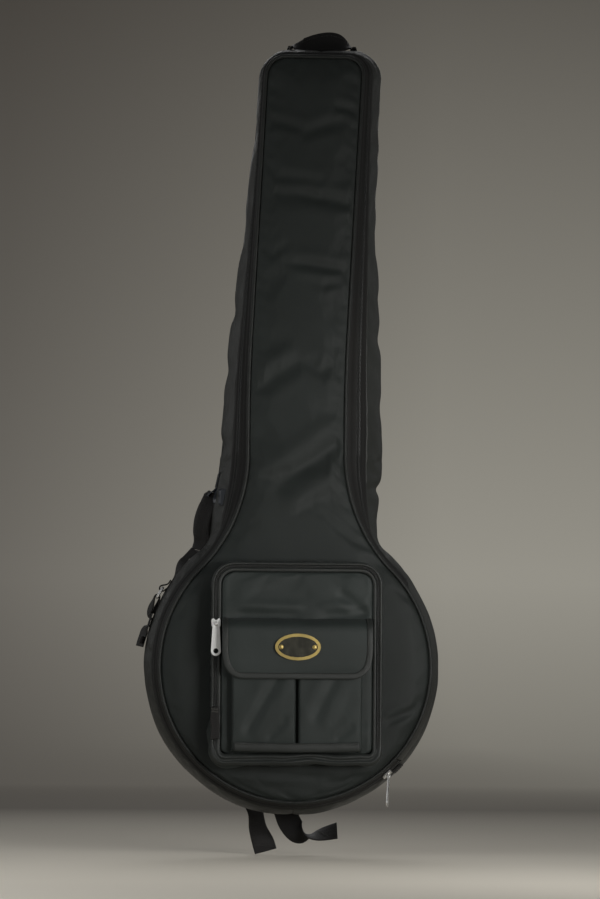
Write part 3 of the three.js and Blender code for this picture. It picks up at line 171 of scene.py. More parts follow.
def plug(tree: bpy.types.NodeTree, slot: bpy.types.NodeSocket, value: Fed) -> None:
    """Gives a socket its link or its constant.

    Args:
        tree: the node tree.
        slot: the socket to feed.
        value: a wrapped or plain socket, a number or a colour.
    """
    source = value.socket if isinstance(value, Value) else value
    if isinstance(source, bpy.types.NodeSocket):
        tree.links.new(source, slot)
    else:
        slot.default_value = source if isinstance(source, (int, float)) else (*source, 1.0)


class Graph:
    """The node tree of one material, with its shader and the pieces most finishes need."""

    def __init__(self, name: str) -> None:
        """Makes the material and finds its shader.

        Args:
            name: the material's name.
        """
        self.material = bpy.data.materials.new(name)
        self.material.use_nodes = True
        self.tree = self.material.node_tree
        self.shader = self.tree.nodes["Principled BSDF"]

    def node(self, kind: str, settings: dict | None = None, values: dict | None = None,
             links: dict | None = None) -> bpy.types.Node:
        """Adds one node.

        Args:
            kind: the node's type.
            settings: properties, set first.
            values: constants by input name or number.
            links: sockets or wrapped values by input name or number.

        Returns:
            The new node.
        """
        node = self.tree.nodes.new(kind)
        for key, value in (settings or {}).items():
            setattr(node, key, value)
        for key, value in (values or {}).items():
            node.inputs[key].default_value = value
        for key, value in (links or {}).items():
            plug(self.tree, node.inputs[key], value)
        return node

    def along_cloth(self) -> tuple[Value, Value]:
        """The place on the cloth, in metres along its two ways.

        Returns:
            The places across and along.
        """
        place = self.node("ShaderNodeAttribute", {"attribute_name": "weave"})
        parts = self.node("ShaderNodeSeparateXYZ", links={0: place.outputs["Vector"]})
        return Value(self.tree, parts.outputs[0]), Value(self.tree, parts.outputs[1])

    def in_space(self) -> bpy.types.NodeSocket:
        """The place in the object's own space."""
        return self.node("ShaderNodeTexCoord").outputs["Object"]

    def cloud(self, scale: float, detail: float = 3.0, roughness: float = 0.55) -> Value:
        """Soft noise through the object, from 0 to 1."""
        made = self.node("ShaderNodeTexNoise", values={"Scale": scale, "Detail": detail, "Roughness": roughness},
                         links={"Vector": self.in_space()})
        return Value(self.tree, made.outputs[0])

    def mixed(self, first: Fed, second: Fed, share: Fed) -> bpy.types.NodeSocket:
        """Two colours mixed by a share.

        Args:
            first: the colour at 0.
            second: the colour at 1.
            share: how much there is of the second.

        Returns:
            The mixed colour's socket.
        """
        node = self.node("ShaderNodeMix", {"data_type": "RGBA"})
        for number, value in ((0, share), (6, first), (7, second)):
            plug(self.tree, node.inputs[number], value)
        return node.outputs[2]

    def bump(self, height: Value, depth: float, strength: float = 1.0,
             under: bpy.types.NodeSocket | None = None) -> bpy.types.NodeSocket:
        """A bumped normal.

        Args:
            height: the height from 0 to 1.
            depth: the real depth in metres.
            strength: how much of it shows.
            under: a coarser normal that it lies on.

        Returns:
            The normal's socket.
        """
        links = {"Height": height} | ({"Normal": under} if under is not None else {})
        return self.node("ShaderNodeBump", values={"Strength": strength, "Distance": depth}, links=links).outputs[0]

    def feed(self, name: str, value: Fed) -> None:
        """Gives one of the shader's inputs a constant or a link."""
        plug(self.tree, self.shader.inputs[name], value)


def linear(code: str) -> tuple[float, float, float]:
    """A colour written as six hex digits, as linear light."""
    parts = [int(code[i:i + 2], 16) / 255 for i in (0, 2, 4)]
    return tuple(p / 12.92 if p <= 0.04045 else ((p + 0.055) / 1.055) ** 2.4 for p in parts)


@dataclass(frozen=True)
class ClothFinish:
    """The finish of one cloth: its colours, its yarns and its wear."""

    name: str
    colour: str
    worn: str
    weave: Weave = Weave.PLAIN
    pitch: float = 0.0009
    depth: float = 0.00012
    roughness: float = 0.72
    sheen: float = 0.15
    crumple: float = 0.0012
    gloss: float = 0.22

    def yarns(self, graph: Graph) -> Value:
        """The height of the yarns, from 0 to 1.

        Args:
            graph: the material's nodes.

        Returns:
            The wrapped height.
        """
        across, along = graph.along_cloth()
        turn = 2 * math.pi / self.pitch
        if self.weave is Weave.TWILL:
            return ((across + along) * turn).sine() * 0.35 + (along * turn).sine() * 0.15 + 0.5
        if self.weave is Weave.WEBBING:
            rib = (across * turn).sine()
            zigzag = (along * (turn * 0.8) + rib * 0.9).sine()
            return zigzag * 0.32 + rib * 0.18 + 0.5
        if self.weave is Weave.COIL:
            return ((along + across * 0.6) * turn).sine() * 0.5 + 0.5
        if self.weave is Weave.PLUSH:
            return graph.cloud(900.0, 4.0, 0.7)
        return (across * turn).sine() * (along * turn).sine() * 0.5 + 0.5

    def build(self) -> bpy.types.Material:
        """Makes the material.

        Returns:
            The new material.
        """
        graph = Graph(self.name)
        yarns = self.yarns(graph)
        patches = graph.cloud(9.0, 5.0, 0.6).above(0.42, 0.3)
        grain = graph.cloud(140.0, 3.0, 0.6)
        shade = graph.mixed(linear(self.colour), linear(self.worn), patches * 0.55 + grain * 0.25)
        # Painted shade: the yarns' valleys take a darker copy of the colour, as if in their own shadow.
        dark = tuple(0.55 * part for part in linear(self.colour))
        graph.feed("Base Color", graph.mixed(dark, shade, yarns * 0.45 + 0.55))
        graph.feed("Roughness", grain * 0.12 + (self.roughness - 0.06))
        graph.feed("Specular IOR Level", self.gloss)
        graph.feed("Sheen Weight", self.sheen)
        graph.feed("Sheen Roughness", 0.4)
        crumpled = graph.bump(graph.cloud(38.0, 4.0, 0.5), self.crumple, 0.5)
        graph.feed("Normal", graph.bump(yarns, self.depth, 0.6, crumpled))
        return graph.material


@dataclass(frozen=True)
class HardFinish:
    """The finish of a metal, enamel or plastic piece, with fine scratches and dulled patches."""

    name: str
    colour: str
    worn: str
    metal: float
    roughness: float
    coat: float = 0.0
    scratch: float = 0.00004

    def build(self) -> bpy.types.Material:
        """Makes the material.

        Returns:
            The new material.
        """
        graph = Graph(self.name)
        patches = graph.cloud(60.0, 5.0, 0.6).above(0.45, 0.25)
        stretch = graph.node("ShaderNodeMapping", values={"Scale": (900.0, 900.0, 60.0)},
                             links={"Vector": graph.in_space()})
        lines = Value(graph.tree, graph.node("ShaderNodeTexNoise", values={"Scale": 1.0, "Detail": 2.0},
                                             links={"Vector": stretch.outputs[0]}).outputs[0])
        graph.feed("Base Color", graph.mixed(linear(self.colour), linear(self.worn), patches * 0.5 + lines * 0.2))
        graph.feed("Metallic", self.metal)
        graph.feed("Roughness", patches * 0.12 + lines * 0.08 + (self.roughness - 0.06))
        graph.feed("Coat Weight", self.coat)
        graph.feed("Normal", graph.bump(lines, self.scratch, 0.3))
        return graph.material


LID_CLOTH = ClothFinish("lid_cloth", "171b19", "202523", Weave.TWILL, 0.0011, 0.00014, 0.60, 0.03, 0.0012, 0.22)
# The pocket's cloth is the lid's cloth painted lighter: a lit copy that stands in for the extra light on the pocket
# and the flap.
POCKET_CLOTH_LIT = ClothFinish("pocket_cloth_lit", "1e2321", "292f2d", Weave.TWILL, 0.0011, 0.00014, 0.58, 0.03, 0.0012, 0.24)
GUSSET_CLOTH = ClothFinish("gusset_cloth", "1c1e1b", "282a27", Weave.PLAIN, 0.0010, 0.00014, 0.50, 0.03, 0.0012, 0.32)
PIPING_CLOTH = ClothFinish("piping_cloth", "161816", "232523", Weave.PLAIN, 0.0007, 0.00010, 0.5, 0.03)
ZIP_TAPE = ClothFinish("zip_tape", "121211", "1c1b19", Weave.WEBBING, 0.0012, 0.00012, 0.66, 0.03)
ZIP_COIL = ClothFinish("zip_coil", "101110", "272826", Weave.COIL, 0.0016, 0.0005, 0.4, 0.0)
WEBBING = ClothFinish("webbing", "0f0d0c", "1b1916", Weave.WEBBING, 0.0022, 0.00030, 0.6, 0.03)
PLUSH = ClothFinish("plush_lining", "2a2a2c", "383839", Weave.PLUSH, 0.001, 0.0006, 0.95, 0.3)
FOAM = ClothFinish("black_foam", "1c1c1e", "272729", Weave.PLUSH, 0.001, 0.0004, 0.95, 0.1)
PATCH = ClothFinish("handle_patch", "303338", "404348", Weave.PLAIN, 0.0008, 0.00006, 0.34, 0.0)
BINDING = ClothFinish("binding_cloth", "1a1d1b", "272a28", Weave.PLAIN, 0.0007, 0.00010, 0.48, 0.03, 0.0010, 0.3)
PALE_THREAD = ClothFinish("pale_thread", "8d8b84", "a5a39b", Weave.COIL, 0.0009, 0.0004, 0.5, 0.1)
THREAD = ClothFinish("thread", "2c2c29", "413f3a", Weave.COIL, 0.0006, 0.0001, 0.6, 0.05)
NICKEL = HardFinish("nickel", "f4f4f3", "dcdcda", 1.0, 0.36)
GOLD = HardFinish("gold", "c6b072", "94803f", 1.0, 0.32)
ENAMEL = HardFinish("enamel", "1a1a13", "3a382a", 0.0, 0.22, 0.9)
PLASTIC = HardFinish("black_plastic", "171717", "242424", 0.0, 0.45)


@lru_cache(maxsize=None)
def material_of(finish: "ClothFinish | HardFinish") -> bpy.types.Material:
    """The one material of a finish."""
    return finish.build()


# The keyhole outline


def smooth(share: float) -> float:
    """An eased step from 0 to 1."""
    held = min(max(share, 0.0), 1.0)
    return held * held * (3 - 2 * held)


def lerp(a: float, b: float, share: float) -> float:
    """A value between two others."""
    return a + (b - a) * share


def arc(x: float, z: float, radius: float, angle: float) -> Vector:
    """A point on a circle in the plane of X and Z."""
    return Vector((x + radius * math.cos(angle), z + radius * math.sin(angle)))


@dataclass(frozen=True)
class Keyhole:
    """The bag's outline: the lid's edge in front and the gusset's widest line, joined by a soft bulge.

    Places run from 0, the middle of the drum's underside, up the right side to 32, the middle of the neck's
    end, and down the left side to 64. Heights inside are above the drum's centre.
    """

    length: float = 1.029
    depth: float = 0.118
    drum_radius: float = 0.197
    neck_top: float = 0.160
    neck_base: float = 0.222
    neck_corner: float = 0.038
    shoulder_radius: float = 0.030
    lean_degrees: float = 2.9
    lean_start: float = 0.323
    lean_blend: float = 0.120
    shift: float = 0.011
    shift_start: float = 0.150
    shift_blend: float = 0.200
    lid_radius: float = 0.183
    lid_neck: float = 0.135
    lid_flare_radius: float = 0.220
    lid_corner: float = 0.027
    lid_inset: float = 0.014
    tape_y: float = -0.0527
    seam_y: float = -0.0417
    tape_end_y: float = -0.0307
    widest: float = 0.6
    back_draw: float = 0.16
    hinge_first: float = 5.0
    hinge_last: float = 13.0

    @property
    def outer_top(self) -> float:
        """Height of the neck's end."""
        return self.length - self.drum_radius

    @property
    def lid_top(self) -> float:
        """Height of the lid's upper edge."""
        return self.outer_top - self.lid_inset

    def lean(self, height: float) -> float:
        """How far the leaning neck lies to the right.

        Args:
            height: the height above the drum's centre.

        Returns:
            The distance to the right.
        """
        run = max(height - self.lean_start, 0.0)
        bent = run * run / (2 * self.lean_blend) if run < self.lean_blend else run - self.lean_blend / 2
        return bent * math.tan(math.radians(self.lean_degrees))

    @staticmethod
    def _flare(circle: float, half: float, fillet: float) -> tuple[float, float, float]:
        """Centre and angle of the hollow arc that leads from the drum into the neck.

        Args:
            circle: the drum's radius.
            half: half the neck's width.
            fillet: the hollow arc's radius.

        Returns:
            The centre's X and height, and the angle.
        """
        x = half + fillet
        z = math.sqrt((circle + fillet) ** 2 - x ** 2)
        return x, z, math.atan2(z, x)

    def _neck_half(self, height: float) -> float:
        """Half the neck's width at its widest line.

        Args:
            height: the height above the drum's centre.

        Returns:
            Half the width.
        """
        _, base, _ = self._flare(self.drum_radius, self.neck_base / 2, self.shoulder_radius)
        share = smooth((self.outer_top - height) / (self.outer_top - base))
        return lerp(self.neck_top, self.neck_base, share) / 2

    @lru_cache(maxsize=20000)
    def _station(self, t: float) -> tuple[Vector, Vector]:
        """The lid's edge and the widest line at a place from 0 to 32.

        Args:
            t: the place.

        Returns:
            The two points, as X and height above the drum's centre.
        """
        lid_x, lid_z, lid_angle = self._flare(self.lid_radius, self.lid_neck / 2, self.lid_flare_radius)
        out_x, out_z, out_angle = self._flare(self.drum_radius, self.neck_base / 2, self.shoulder_radius)
        if t <= 14:
            turn = t / 14
            return (arc(0, 0, self.lid_radius, lerp(-math.pi / 2, lid_angle, turn)),
                    arc(0, 0, self.drum_radius, lerp(-math.pi / 2, out_angle, turn)))
        if t <= 21:
            i = t - 14
            lid = arc(lid_x, lid_z, self.lid_flare_radius, math.pi + lid_angle * (1 - i / 7))
            if i <= 3:
                return lid, arc(out_x, out_z, self.shoulder_radius, math.pi + out_angle * (1 - i / 3))
            height = lerp(out_z, lid_z, (i - 3) / 4)
            return lid, Vector((self._neck_half(height), height))
        lid_straight = self.lid_top - self.lid_corner
        out_straight = self.outer_top - self.neck_corner
        if t <= 27:
            i = (t - 21) / 6
            height = lerp(lid_z, out_straight, i)
            return (Vector((self.lid_neck / 2, lerp(lid_z, lid_straight, i))),
                    Vector((self._neck_half(height), height)))
        corner_x = self._neck_half(out_straight) - self.neck_corner
        if t <= 31:
            angle = math.pi / 2 * (t - 27) / 4
            return (arc(self.lid_neck / 2 - self.lid_corner, lid_straight, self.lid_corner, angle),
                    arc(corner_x, out_straight, self.neck_corner, angle))
        left = 32 - t
        return (Vector((left * (self.lid_neck / 2 - self.lid_corner), self.lid_top)),
                Vector((left * corner_x, self.outer_top)))

    def bulge(self, y: float) -> float:
        """How far from the lid's edge, 0, to the widest line, 1, the skin lies at a depth.

        Args:
            y: the depth.

        Returns:
            The share from the lid's edge to the widest line.
        """
        share = min(max((y - self.tape_y) / (self.depth / 2 - self.tape_y), 0.0), 1.0)
        if share <= self.widest:
            return 1 - (1 - share / self.widest) ** 2
        return 1 - self.back_draw * ((share - self.widest) / (1 - self.widest)) ** 2

    def flat(self, place: float, y: float) -> Vector:
        """The skin's point at a place and a depth, as X and Z.

        Args:
            place: the place round the outline.
            y: the depth.

        Returns:
            The point.
        """
        t = place % 64
        side = 1.0
        if t > 32:
            t, side = 64 - t, -1.0
        lid, outer = self._station(round(t, 5))
        share = self.bulge(y)
        x = lerp(lid.x, outer.x, share) * side
        height = lerp(lid.y, outer.y, share)
        x += self.lean(height) + share * self.shift * smooth((height - self.shift_start) / self.shift_blend)
        return Vector((x, self.drum_radius + height))

    def outward(self, place: float, y: float) -> Vector:
        """The direction away from the bag in the plane of X and Z."""
        along = (self.flat(place + 0.3, y) - self.flat(place - 0.3, y)).normalized()
        return Vector((along.y, 0.0, -along.x))

    def skin(self, place: float, y: float, out: float = 0.0) -> Vector:
        """A point near the skin, at a place round the outline, a depth and a distance out."""
        point, normal = self.flat(place, y), self.outward(place, y)
        return Vector((point.x + normal.x * out, y, point.y + normal.z * out))

    def run(self, first: float, last: float, y: float = 0.0) -> float:
        """The length of the skin between two places.

        Args:
            first: the place where it begins.
            last: the place where it ends.
            y: the depth.

        Returns:
            The length.
        """
        steps = max(2, int(abs(last - first) * 4))
        points = [self.flat(lerp(first, last, i / steps), y) for i in range(steps + 1)]
        return sum((b - a).length for a, b in zip(points, points[1:]))

    def left_place(self, height: float, y: float) -> float:
        """The place on the left side at a height above the drum's underside.

        Args:
            height: the height above the drum's underside.
            y: the depth.

        Returns:
            The place.
        """
        low, high = 33.0, 63.9
        for _ in range(40):
            middle = (low + high) / 2
            if self.flat(middle, y).y > height:
                low = middle
            else:
                high = middle
        return (low + high) / 2


KEYHOLE = Keyhole()
NECK_END, ALL_ROUND = 32.0, 64.0
FRONT, ACROSS, UP = Vector((0.0, -1.0, 0.0)), Vector((0.0, 1.0, 0.0)), Vector((0.0, 0.0, 1.0))


# Mesh work


def from_middle(point: Vector) -> Vector:
    """The direction away from the bag's middle line at a point."""
    return Vector((point.x - KEYHOLE.lean(point.z - KEYHOLE.drum_radius), 0.0, 0.0))


def from_pocket(point: Vector) -> Vector:
    """The direction away from the pocket's middle at a point."""
    return Vector((point.x, 0.0, point.z - 0.2))


def forwards(_: Vector) -> Vector:
    """The direction that the lid looks in."""
    return FRONT


def backwards(_: Vector) -> Vector:
    """The direction that the back looks in."""
    return ACROSS


class Work:
    """One mesh under construction, begun from a grid or a few points and finished as an object."""

    def __init__(self) -> None:
        """Starts with nothing."""
        self.bm = bmesh.new()
        self.weave = self.bm.verts.layers.float_vector.new("weave")

    def grid(self, steps: tuple[int, int], span: "Pair | None", place: Place) -> list[bmesh.types.BMVert]:
        """Adds a grid and moves its points.

        Args:
            steps: the faces along the two ways.
            span: the cloth's real lengths along the two ways, or None to lay its weave by X and Z.
            place: the point for two shares from 0 to 1.

        Returns:
            The new points.
        """
        made = bmesh.ops.create_grid(self.bm, x_segments=steps[0], y_segments=steps[1], size=1.0)
        for vert in made["verts"]:
            u, v = (vert.co.x + 1) / 2, (vert.co.y + 1) / 2
            vert.co = place(u, v)
            vert[self.weave] = Vector((u * span[0], v * span[1], 0.0) if span else (vert.co.x, vert.co.z, 0.0))
        return made["verts"]

    def turn_weave(self) -> None:
        """Swaps the cloth's two ways."""
        for vert in self.bm.verts:
            vert[self.weave] = Vector((vert[self.weave].y, vert[self.weave].x, 0.0))

    def join(self) -> None:
        """Joins the points that meet."""
        bmesh.ops.remove_doubles(self.bm, verts=self.bm.verts[:], dist=1e-5)

    def close(self) -> None:
        """Joins the points that meet and closes the open ends."""
        self.join()
        open_edges = [edge for edge in self.bm.edges if edge.is_boundary]
        if open_edges:
            bmesh.ops.holes_fill(self.bm, edges=open_edges, sides=0)

    def bevel(self, offset: float, segments: int, angle: float = 0.6) -> None:
        """Rounds the sharp edges.

        Args:
            offset: how far each rounding reaches.
            segments: the steps across it.
            angle: the least angle that counts as sharp.
        """
        sharp = [e for e in self.bm.edges if len(e.link_faces) == 2 and e.calc_face_angle(0.0) > angle]
        bmesh.ops.bevel(self.bm, geom=sharp, offset=offset, offset_type="OFFSET", segments=segments, profile=0.5,
                        affect="EDGES", material=-1, clamp_overlap=True)

    def finish(self, name: str, finish: ClothFinish, body: "Body | None", nodes: Iterable[str] = (),
               turned: bool = True, away: "Away | None" = None) -> bpy.types.Object:
        """Makes the object.

        Args:
            name: the piece's name.
            finish: its finish.
            body: the body that it rides on, or None to ride on none.
            nodes: the CAD nodes that it stands for.
            turned: whether the normals are worked out afresh.
            away: for an open sheet, the direction that its face looks in, at a point.

        Returns:
            The new object.
        """
        if turned:
            bmesh.ops.recalc_face_normals(self.bm, faces=self.bm.faces[:])
        mesh = bpy.data.meshes.new(name)
        self.bm.to_mesh(mesh)
        self.bm.free()
        for face in mesh.polygons:
            face.use_smooth = True
        if away is not None and sum(f.normal.dot(away(f.center)) * f.area for f in mesh.polygons) < 0:
            mesh.flip_normals()
        mesh.materials.append(material_of(finish))
        obj = bpy.data.objects.new(name, mesh)
        bpy.context.scene.collection.objects.link(obj)
        if body is not None:
            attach(obj, body.value)
        if nodes:
            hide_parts(*nodes)
        finish.name if finish.name in SLOTS else SLOT_OF[finish.name]
        log.info("%s: %d faces", name, len(mesh.polygons))
        return obj


SLOTS = {"lid_cloth", "gusset_cloth", "piping_cloth", "zip_tape", "plush_lining", "webbing", "black_foam", "nickel",
         "gold", "enamel", "black_plastic"}
SLOT_OF = {"zip_coil": "zip_tape", "thread": "piping_cloth", "pale_thread": "piping_cloth",
           "handle_patch": "webbing", "binding_cloth": "piping_cloth", "pocket_cloth_lit": "lid_cloth"}


def cloth(name: str, finish: ClothFinish, body: "Body | None", nodes: Sequence[str], steps: tuple[int, int],
          span: "Pair | None", place: Place, away: Away, thickness: float = 0.0, levels: int = 1,
          joined: bool = False) -> bpy.types.Object:
    """Makes an open piece of cloth from a grid.

    Args:
        name: the piece's name.
        finish: its cloth.
        body: the body that it rides on, or None to ride on none.
        nodes: the CAD nodes that it stands for.
        steps: the faces along its two ways.
        span: its real lengths along them, or None to lay its weave by X and Z.
        place: the point for two shares from 0 to 1.
        away: the direction that its face looks in, at a point.
        thickness: its wall, or 0 to leave it one face thick.
        levels: how often the wall's face is smoothed.
        joined: whether its two ends meet.

    Returns:
        The new piece.
    """
    work = Work()
    work.grid(steps, span, place)
    if joined:
        work.join()
    obj = work.finish(name, finish, body, nodes, away=away)
    return wall(obj, thickness, levels) if thickness else obj


def through(points: Sequence[Vector], steps: int) -> list[Vector]:
    """A smooth line through points, with a number of steps between each two.

    Args:
        points: the points.
        steps: the steps between each two.

    Returns:
        The line's stops.
    """
    ends = [2 * points[0] - points[1], *points, 2 * points[-1] - points[-2]]
    line = []
    for a, b, c, d in zip(ends, ends[1:], ends[2:], ends[3:]):
        for i in range(steps):
            t = i / steps
            line.append(0.5 * (2 * b + (c - a) * t + (2 * a - 5 * b + 4 * c - d) * t ** 2
                               + (3 * b - a - 3 * c + d) * t ** 3))
    return [*line, points[-1].copy()]


def at_share(line: Sequence[Vector], share: float) -> Vector:
    """The point at a share of a line's stops.

    Args:
        line: the line's stops.
        share: the share of its stops.

    Returns:
        The point.
    """
    spot = min(max(share, 0.0), 1.0) * (len(line) - 1)
    index = min(int(spot), len(line) - 2)
    return line[index].lerp(line[index + 1], spot - index)


def length_of(line: Sequence[Vector]) -> float:
    """The length of a line."""
    return sum((b - a).length for a, b in zip(line, line[1:]))


def rounded_section(angle: float, half_width: float, half_thickness: float, squareness: float) -> tuple[float, float]:
    """A point of a rounded flat section at an angle."""
    c, s = math.cos(angle), math.sin(angle)
    return (math.copysign(abs(c) ** squareness, c) * half_width,
            math.copysign(abs(s) ** squareness, s) * half_thickness)


def strap(work: Work, line: Sequence[Vector], across: Sequence[Vector], width: float, thickness: float,
          around: int = 20, squareness: float = 0.35) -> None:
    """Adds a flat band of webbing along a line.

    Args:
        work: the mesh to add to.
        line: the band's middle line.
        across: the direction of its width at each stop.
        width: the band's width.
        thickness: its thickness.
        around: points round its section.
        squareness: how square its edges are.
    """
    last = len(line) - 1
    along = [(line[min(i + 1, last)] - line[max(i - 1, 0)]).normalized() for i in range(last + 1)]

    def place(u: float, v: float) -> Vector:
        """The point at a share of the length and of the way round."""
        i = round(u * last)
        side = (across[i] - along[i] * across[i].dot(along[i])).normalized()
        out = along[i].cross(side).normalized()
        x, y = rounded_section(2 * math.pi * v, width / 2, thickness / 2, squareness)
        return line[i] + side * x + out * y

    work.grid((last, around), (length_of(line), width * 2), place)
    work.turn_weave()


def band(name: str, line: Sequence[Vector], across: Sequence[Vector], width: float, thickness: float,
         body: "Body | None", nodes: Sequence[str], finish: ClothFinish = WEBBING, around: int = 20,
         squareness: float = 0.35) -> bpy.types.Object:
    """Makes one closed band of webbing.

    Args:
        name: the piece's name.
        line: the band's middle line.
        across: the direction of its width at each stop.
        width: the band's width.
        thickness: its thickness.
        body: the body that it rides on, or None to ride on none.
        nodes: the CAD nodes that it stands for.
        finish: its finish.
        around: points round its section.
        squareness: how square its edges are.

    Returns:
        The new piece.
    """
    work = Work()
    strap(work, line, across, width, thickness, around, squareness)
    work.close()
    return work.finish(name, finish, body, nodes)


def wrinkle(point: Vector, size: float, seed: float) -> float:
    """Soft folds from -1 to 1 at a point, of a size in metres."""
    return noise.noise(Vector((point.x / size + seed, point.y / size, point.z / size)))


@dataclass(frozen=True)
class Crease:
    """One fold across cloth: from one point to another, with its width and its depth inwards."""

    start: Pair
    end: Pair
    width: float
    depth: float

    def at(self, x: float, z: float) -> float:
        """How far the fold draws the cloth in at a point.

        Args:
            x: the place across.
            z: the height.

        Returns:
            The distance, below 0 where the cloth stands out beside the fold.
        """
        a, b, p = Vector(self.start), Vector(self.end), Vector((x, z))
        span = b - a
        share = min(max((p - a).dot(span) / span.length_squared, 0.0), 1.0)
        off = (p - (a + span * share)).length / self.width
        fade = smooth(min(share, 1 - share) * 5 + 0.2)
        valley = math.exp(-off * off * 2)
        ridge = 0.45 * math.exp(-((off - 1.6) ** 2) * 2)
        return self.depth * fade * (valley - ridge)


def fine_place(first: float, last: float, u: float, seam: float = 0.02) -> float:
    """A place between two others, each drawn in by a seam."""
    return lerp(first + seam, last - seam, u)


def settle(obj: bpy.types.Object, held: Iterable[int], pressure: float, growth: float, cap: float,
           frames: int = 20, bending: float = 0.4) -> None:
    """Lets cloth take its folds by simulation and keeps the result in the mesh.

    Args:
        obj: the piece.
        held: the points that stay still.
        pressure: the stuffing's push outwards.
        growth: how much larger the cloth is than the space it is sewn into, as a share.
        cap: the furthest that a point may move, in metres.
        frames: the steps of the simulation.
        bending: the cloth's resistance to bending.
    """
    scene = bpy.context.scene
    scene.frame_set(1)
    obj.vertex_groups.new(name="held").add(list(held), 1.0, "REPLACE")
    rest = [vert.co.copy() for vert in obj.data.vertices]
    simulated = obj.modifiers.new("cloth", "CLOTH")
    settings = simulated.settings
    settings.quality = 6
    settings.mass = 0.2
    settings.tension_stiffness = settings.compression_stiffness = 18.0
    settings.shear_stiffness = 6.0
    settings.bending_stiffness = bending
    settings.air_damping = 2.0
    settings.shrink_min = -growth
    settings.use_pressure = True
    settings.uniform_pressure_force = pressure
    settings.vertex_group_mass = "held"
    settings.effector_weights.gravity = 0.0
    simulated.collision_settings.use_collision = False
    simulated.point_cache.frame_end = frames
    for step in range(1, frames + 1):
        scene.frame_set(step)
    moved = obj.evaluated_get(bpy.context.evaluated_depsgraph_get()).to_mesh()
    placed = [vert.co.copy() for vert in moved.vertices]
    obj.modifiers.remove(simulated)
    obj.vertex_groups.clear()
    for vert, start, end in zip(obj.data.vertices, rest, placed):
        shift = end - start
        vert.co = start + shift * (min(1.0, cap / shift.length) if shift.length > 0 else 0.0)
    scene.frame_set(1)


def rounded(obj: bpy.types.Object, levels: int = 1) -> None:
    """Smooths a piece by dividing its faces, a number of times."""
    rounding = obj.modifiers.new("rounding", "SUBSURF")
    rounding.levels = rounding.render_levels = levels


def wall(obj: bpy.types.Object, thickness: float, levels: int = 1) -> bpy.types.Object:
    """Smooths a cloth piece and gives it a wall towards its back.

    Args:
        obj: the piece, one face thick.
        thickness: the wall's thickness.
        levels: how often its face is smoothed first, or 0.

    Returns:
        The same piece.
    """
    if levels:
        rounded(obj, levels)
    lining = obj.modifiers.new("wall", "SOLIDIFY")
    lining.thickness = thickness
    lining.offset = -1.0
    return obj


def border_points(obj: bpy.types.Object) -> list[int]:
    """The points on the open edges of a piece.

    Args:
        obj: the piece.

    Returns:
        The points' numbers.
    """
    work = bmesh.new()
    work.from_mesh(obj.data)
    found = [vert.index for vert in work.verts if vert.is_boundary]
    work.free()
    return found


def near_ends(obj: bpy.types.Object) -> list[int]:
    """The points in a panel's narrow rows at the drum's underside and the neck's end."""
    return [vert.index for vert in obj.data.vertices if vert.co.z < 0.04 or vert.co.z > 1.0]


# The shell: gussets, back and piping


@dataclass
class Shell:
    """The fixed half of the bag."""

    wall: float = 0.008
    front_y: float = -0.0304
    back_y: float = 0.0487
    panel_y: float = 0.059
    panel_inset: float = 0.0053
    piping_radius: float = 0.0026
    piping_y: float = 0.0515
    folds_left: tuple[Triple, ...] = (
        (0.676, 0.0046, 0.008), (0.594, 0.0034, 0.012), (0.492, 0.0058, 0.009), (0.466, 0.0045, 0.034))
    folds_right: tuple[Triple, ...] = (
        (0.436, 0.0056, 0.008), (0.882, 0.0034, 0.006), (0.780, 0.0026, 0.060), (0.640, 0.0024, 0.012),
        (0.200, 0.0032, 0.110), (0.400, 0.0025, 0.030))

    @staticmethod
    def fold(z: float, folds: Sequence[Triple]) -> float:
        """How far the folds across the gusset draw it in at a height."""
        return sum(depth * math.exp(-((z - at) / width) ** 2) for at, depth, width in folds)

    def gusset(self, name: str, first: float, last: float, folds: Sequence[Triple],
               node: str) -> None:
        """One padded side of the bag, from the drum's underside to the neck's end.

        Args:
            name: the piece's name.
            first: the place where it begins.
            last: the place where it ends.
            folds: height, depth and width of each fold.
            node: the CAD node that it stands for.
        """

        def place(u: float, v: float) -> Vector:
            """A point of the gusset's outer face."""
            at = fine_place(first, last, u, 0.001)
            y = lerp(self.front_y, self.back_y, v)
            point = KEYHOLE.skin(at, y)
            middle = math.sin(math.pi * v)
            ends = min(1.0, min(u, 1 - u) * 40)
            soft = wrinkle(point, 0.075, 3.1) * 0.0016 + wrinkle(point, 0.024, 8.3) * 0.0007
            out = (0.0010 + soft) * middle * ends - 0.0008 * (1 - middle)
            out -= self.fold(point.z, folds) * (0.35 + 0.65 * middle)
            return KEYHOLE.skin(at, y, out)

        obj = cloth(name, GUSSET_CLOTH, Body.SHELL, [node], (230, 15),
                    (KEYHOLE.run(first, last), self.back_y - self.front_y), place, from_middle)
        settle(obj, border_points(obj), 0.5, 0.022, 0.0013)
        wall(obj, self.wall)

    def back(self) -> None:
        """The padded back panel."""
        obj = keyhole_panel("back_panel_cloth", GUSSET_CLOTH, Body.SHELL, ["back_panel"], self.panel_y, 1.0,
                            self.panel_inset, 0.0006, 0.0030, ())
        settle(obj, [*border_points(obj), *near_ends(obj)], 0.6, 0.012, 0.0012)
        wall(obj, 0.009)

    def build(self) -> None:
        """Makes the shell's pieces."""
        self.gusset("gusset_right_cloth", 0.0, NECK_END, self.folds_right, "gusset_right")
        self.gusset("gusset_left_cloth", NECK_END, ALL_ROUND, self.folds_left, "gusset_left")
        self.back()
        piping("back_piping_cord", self.piping_y, self.piping_radius, Body.SHELL, "back_piping")


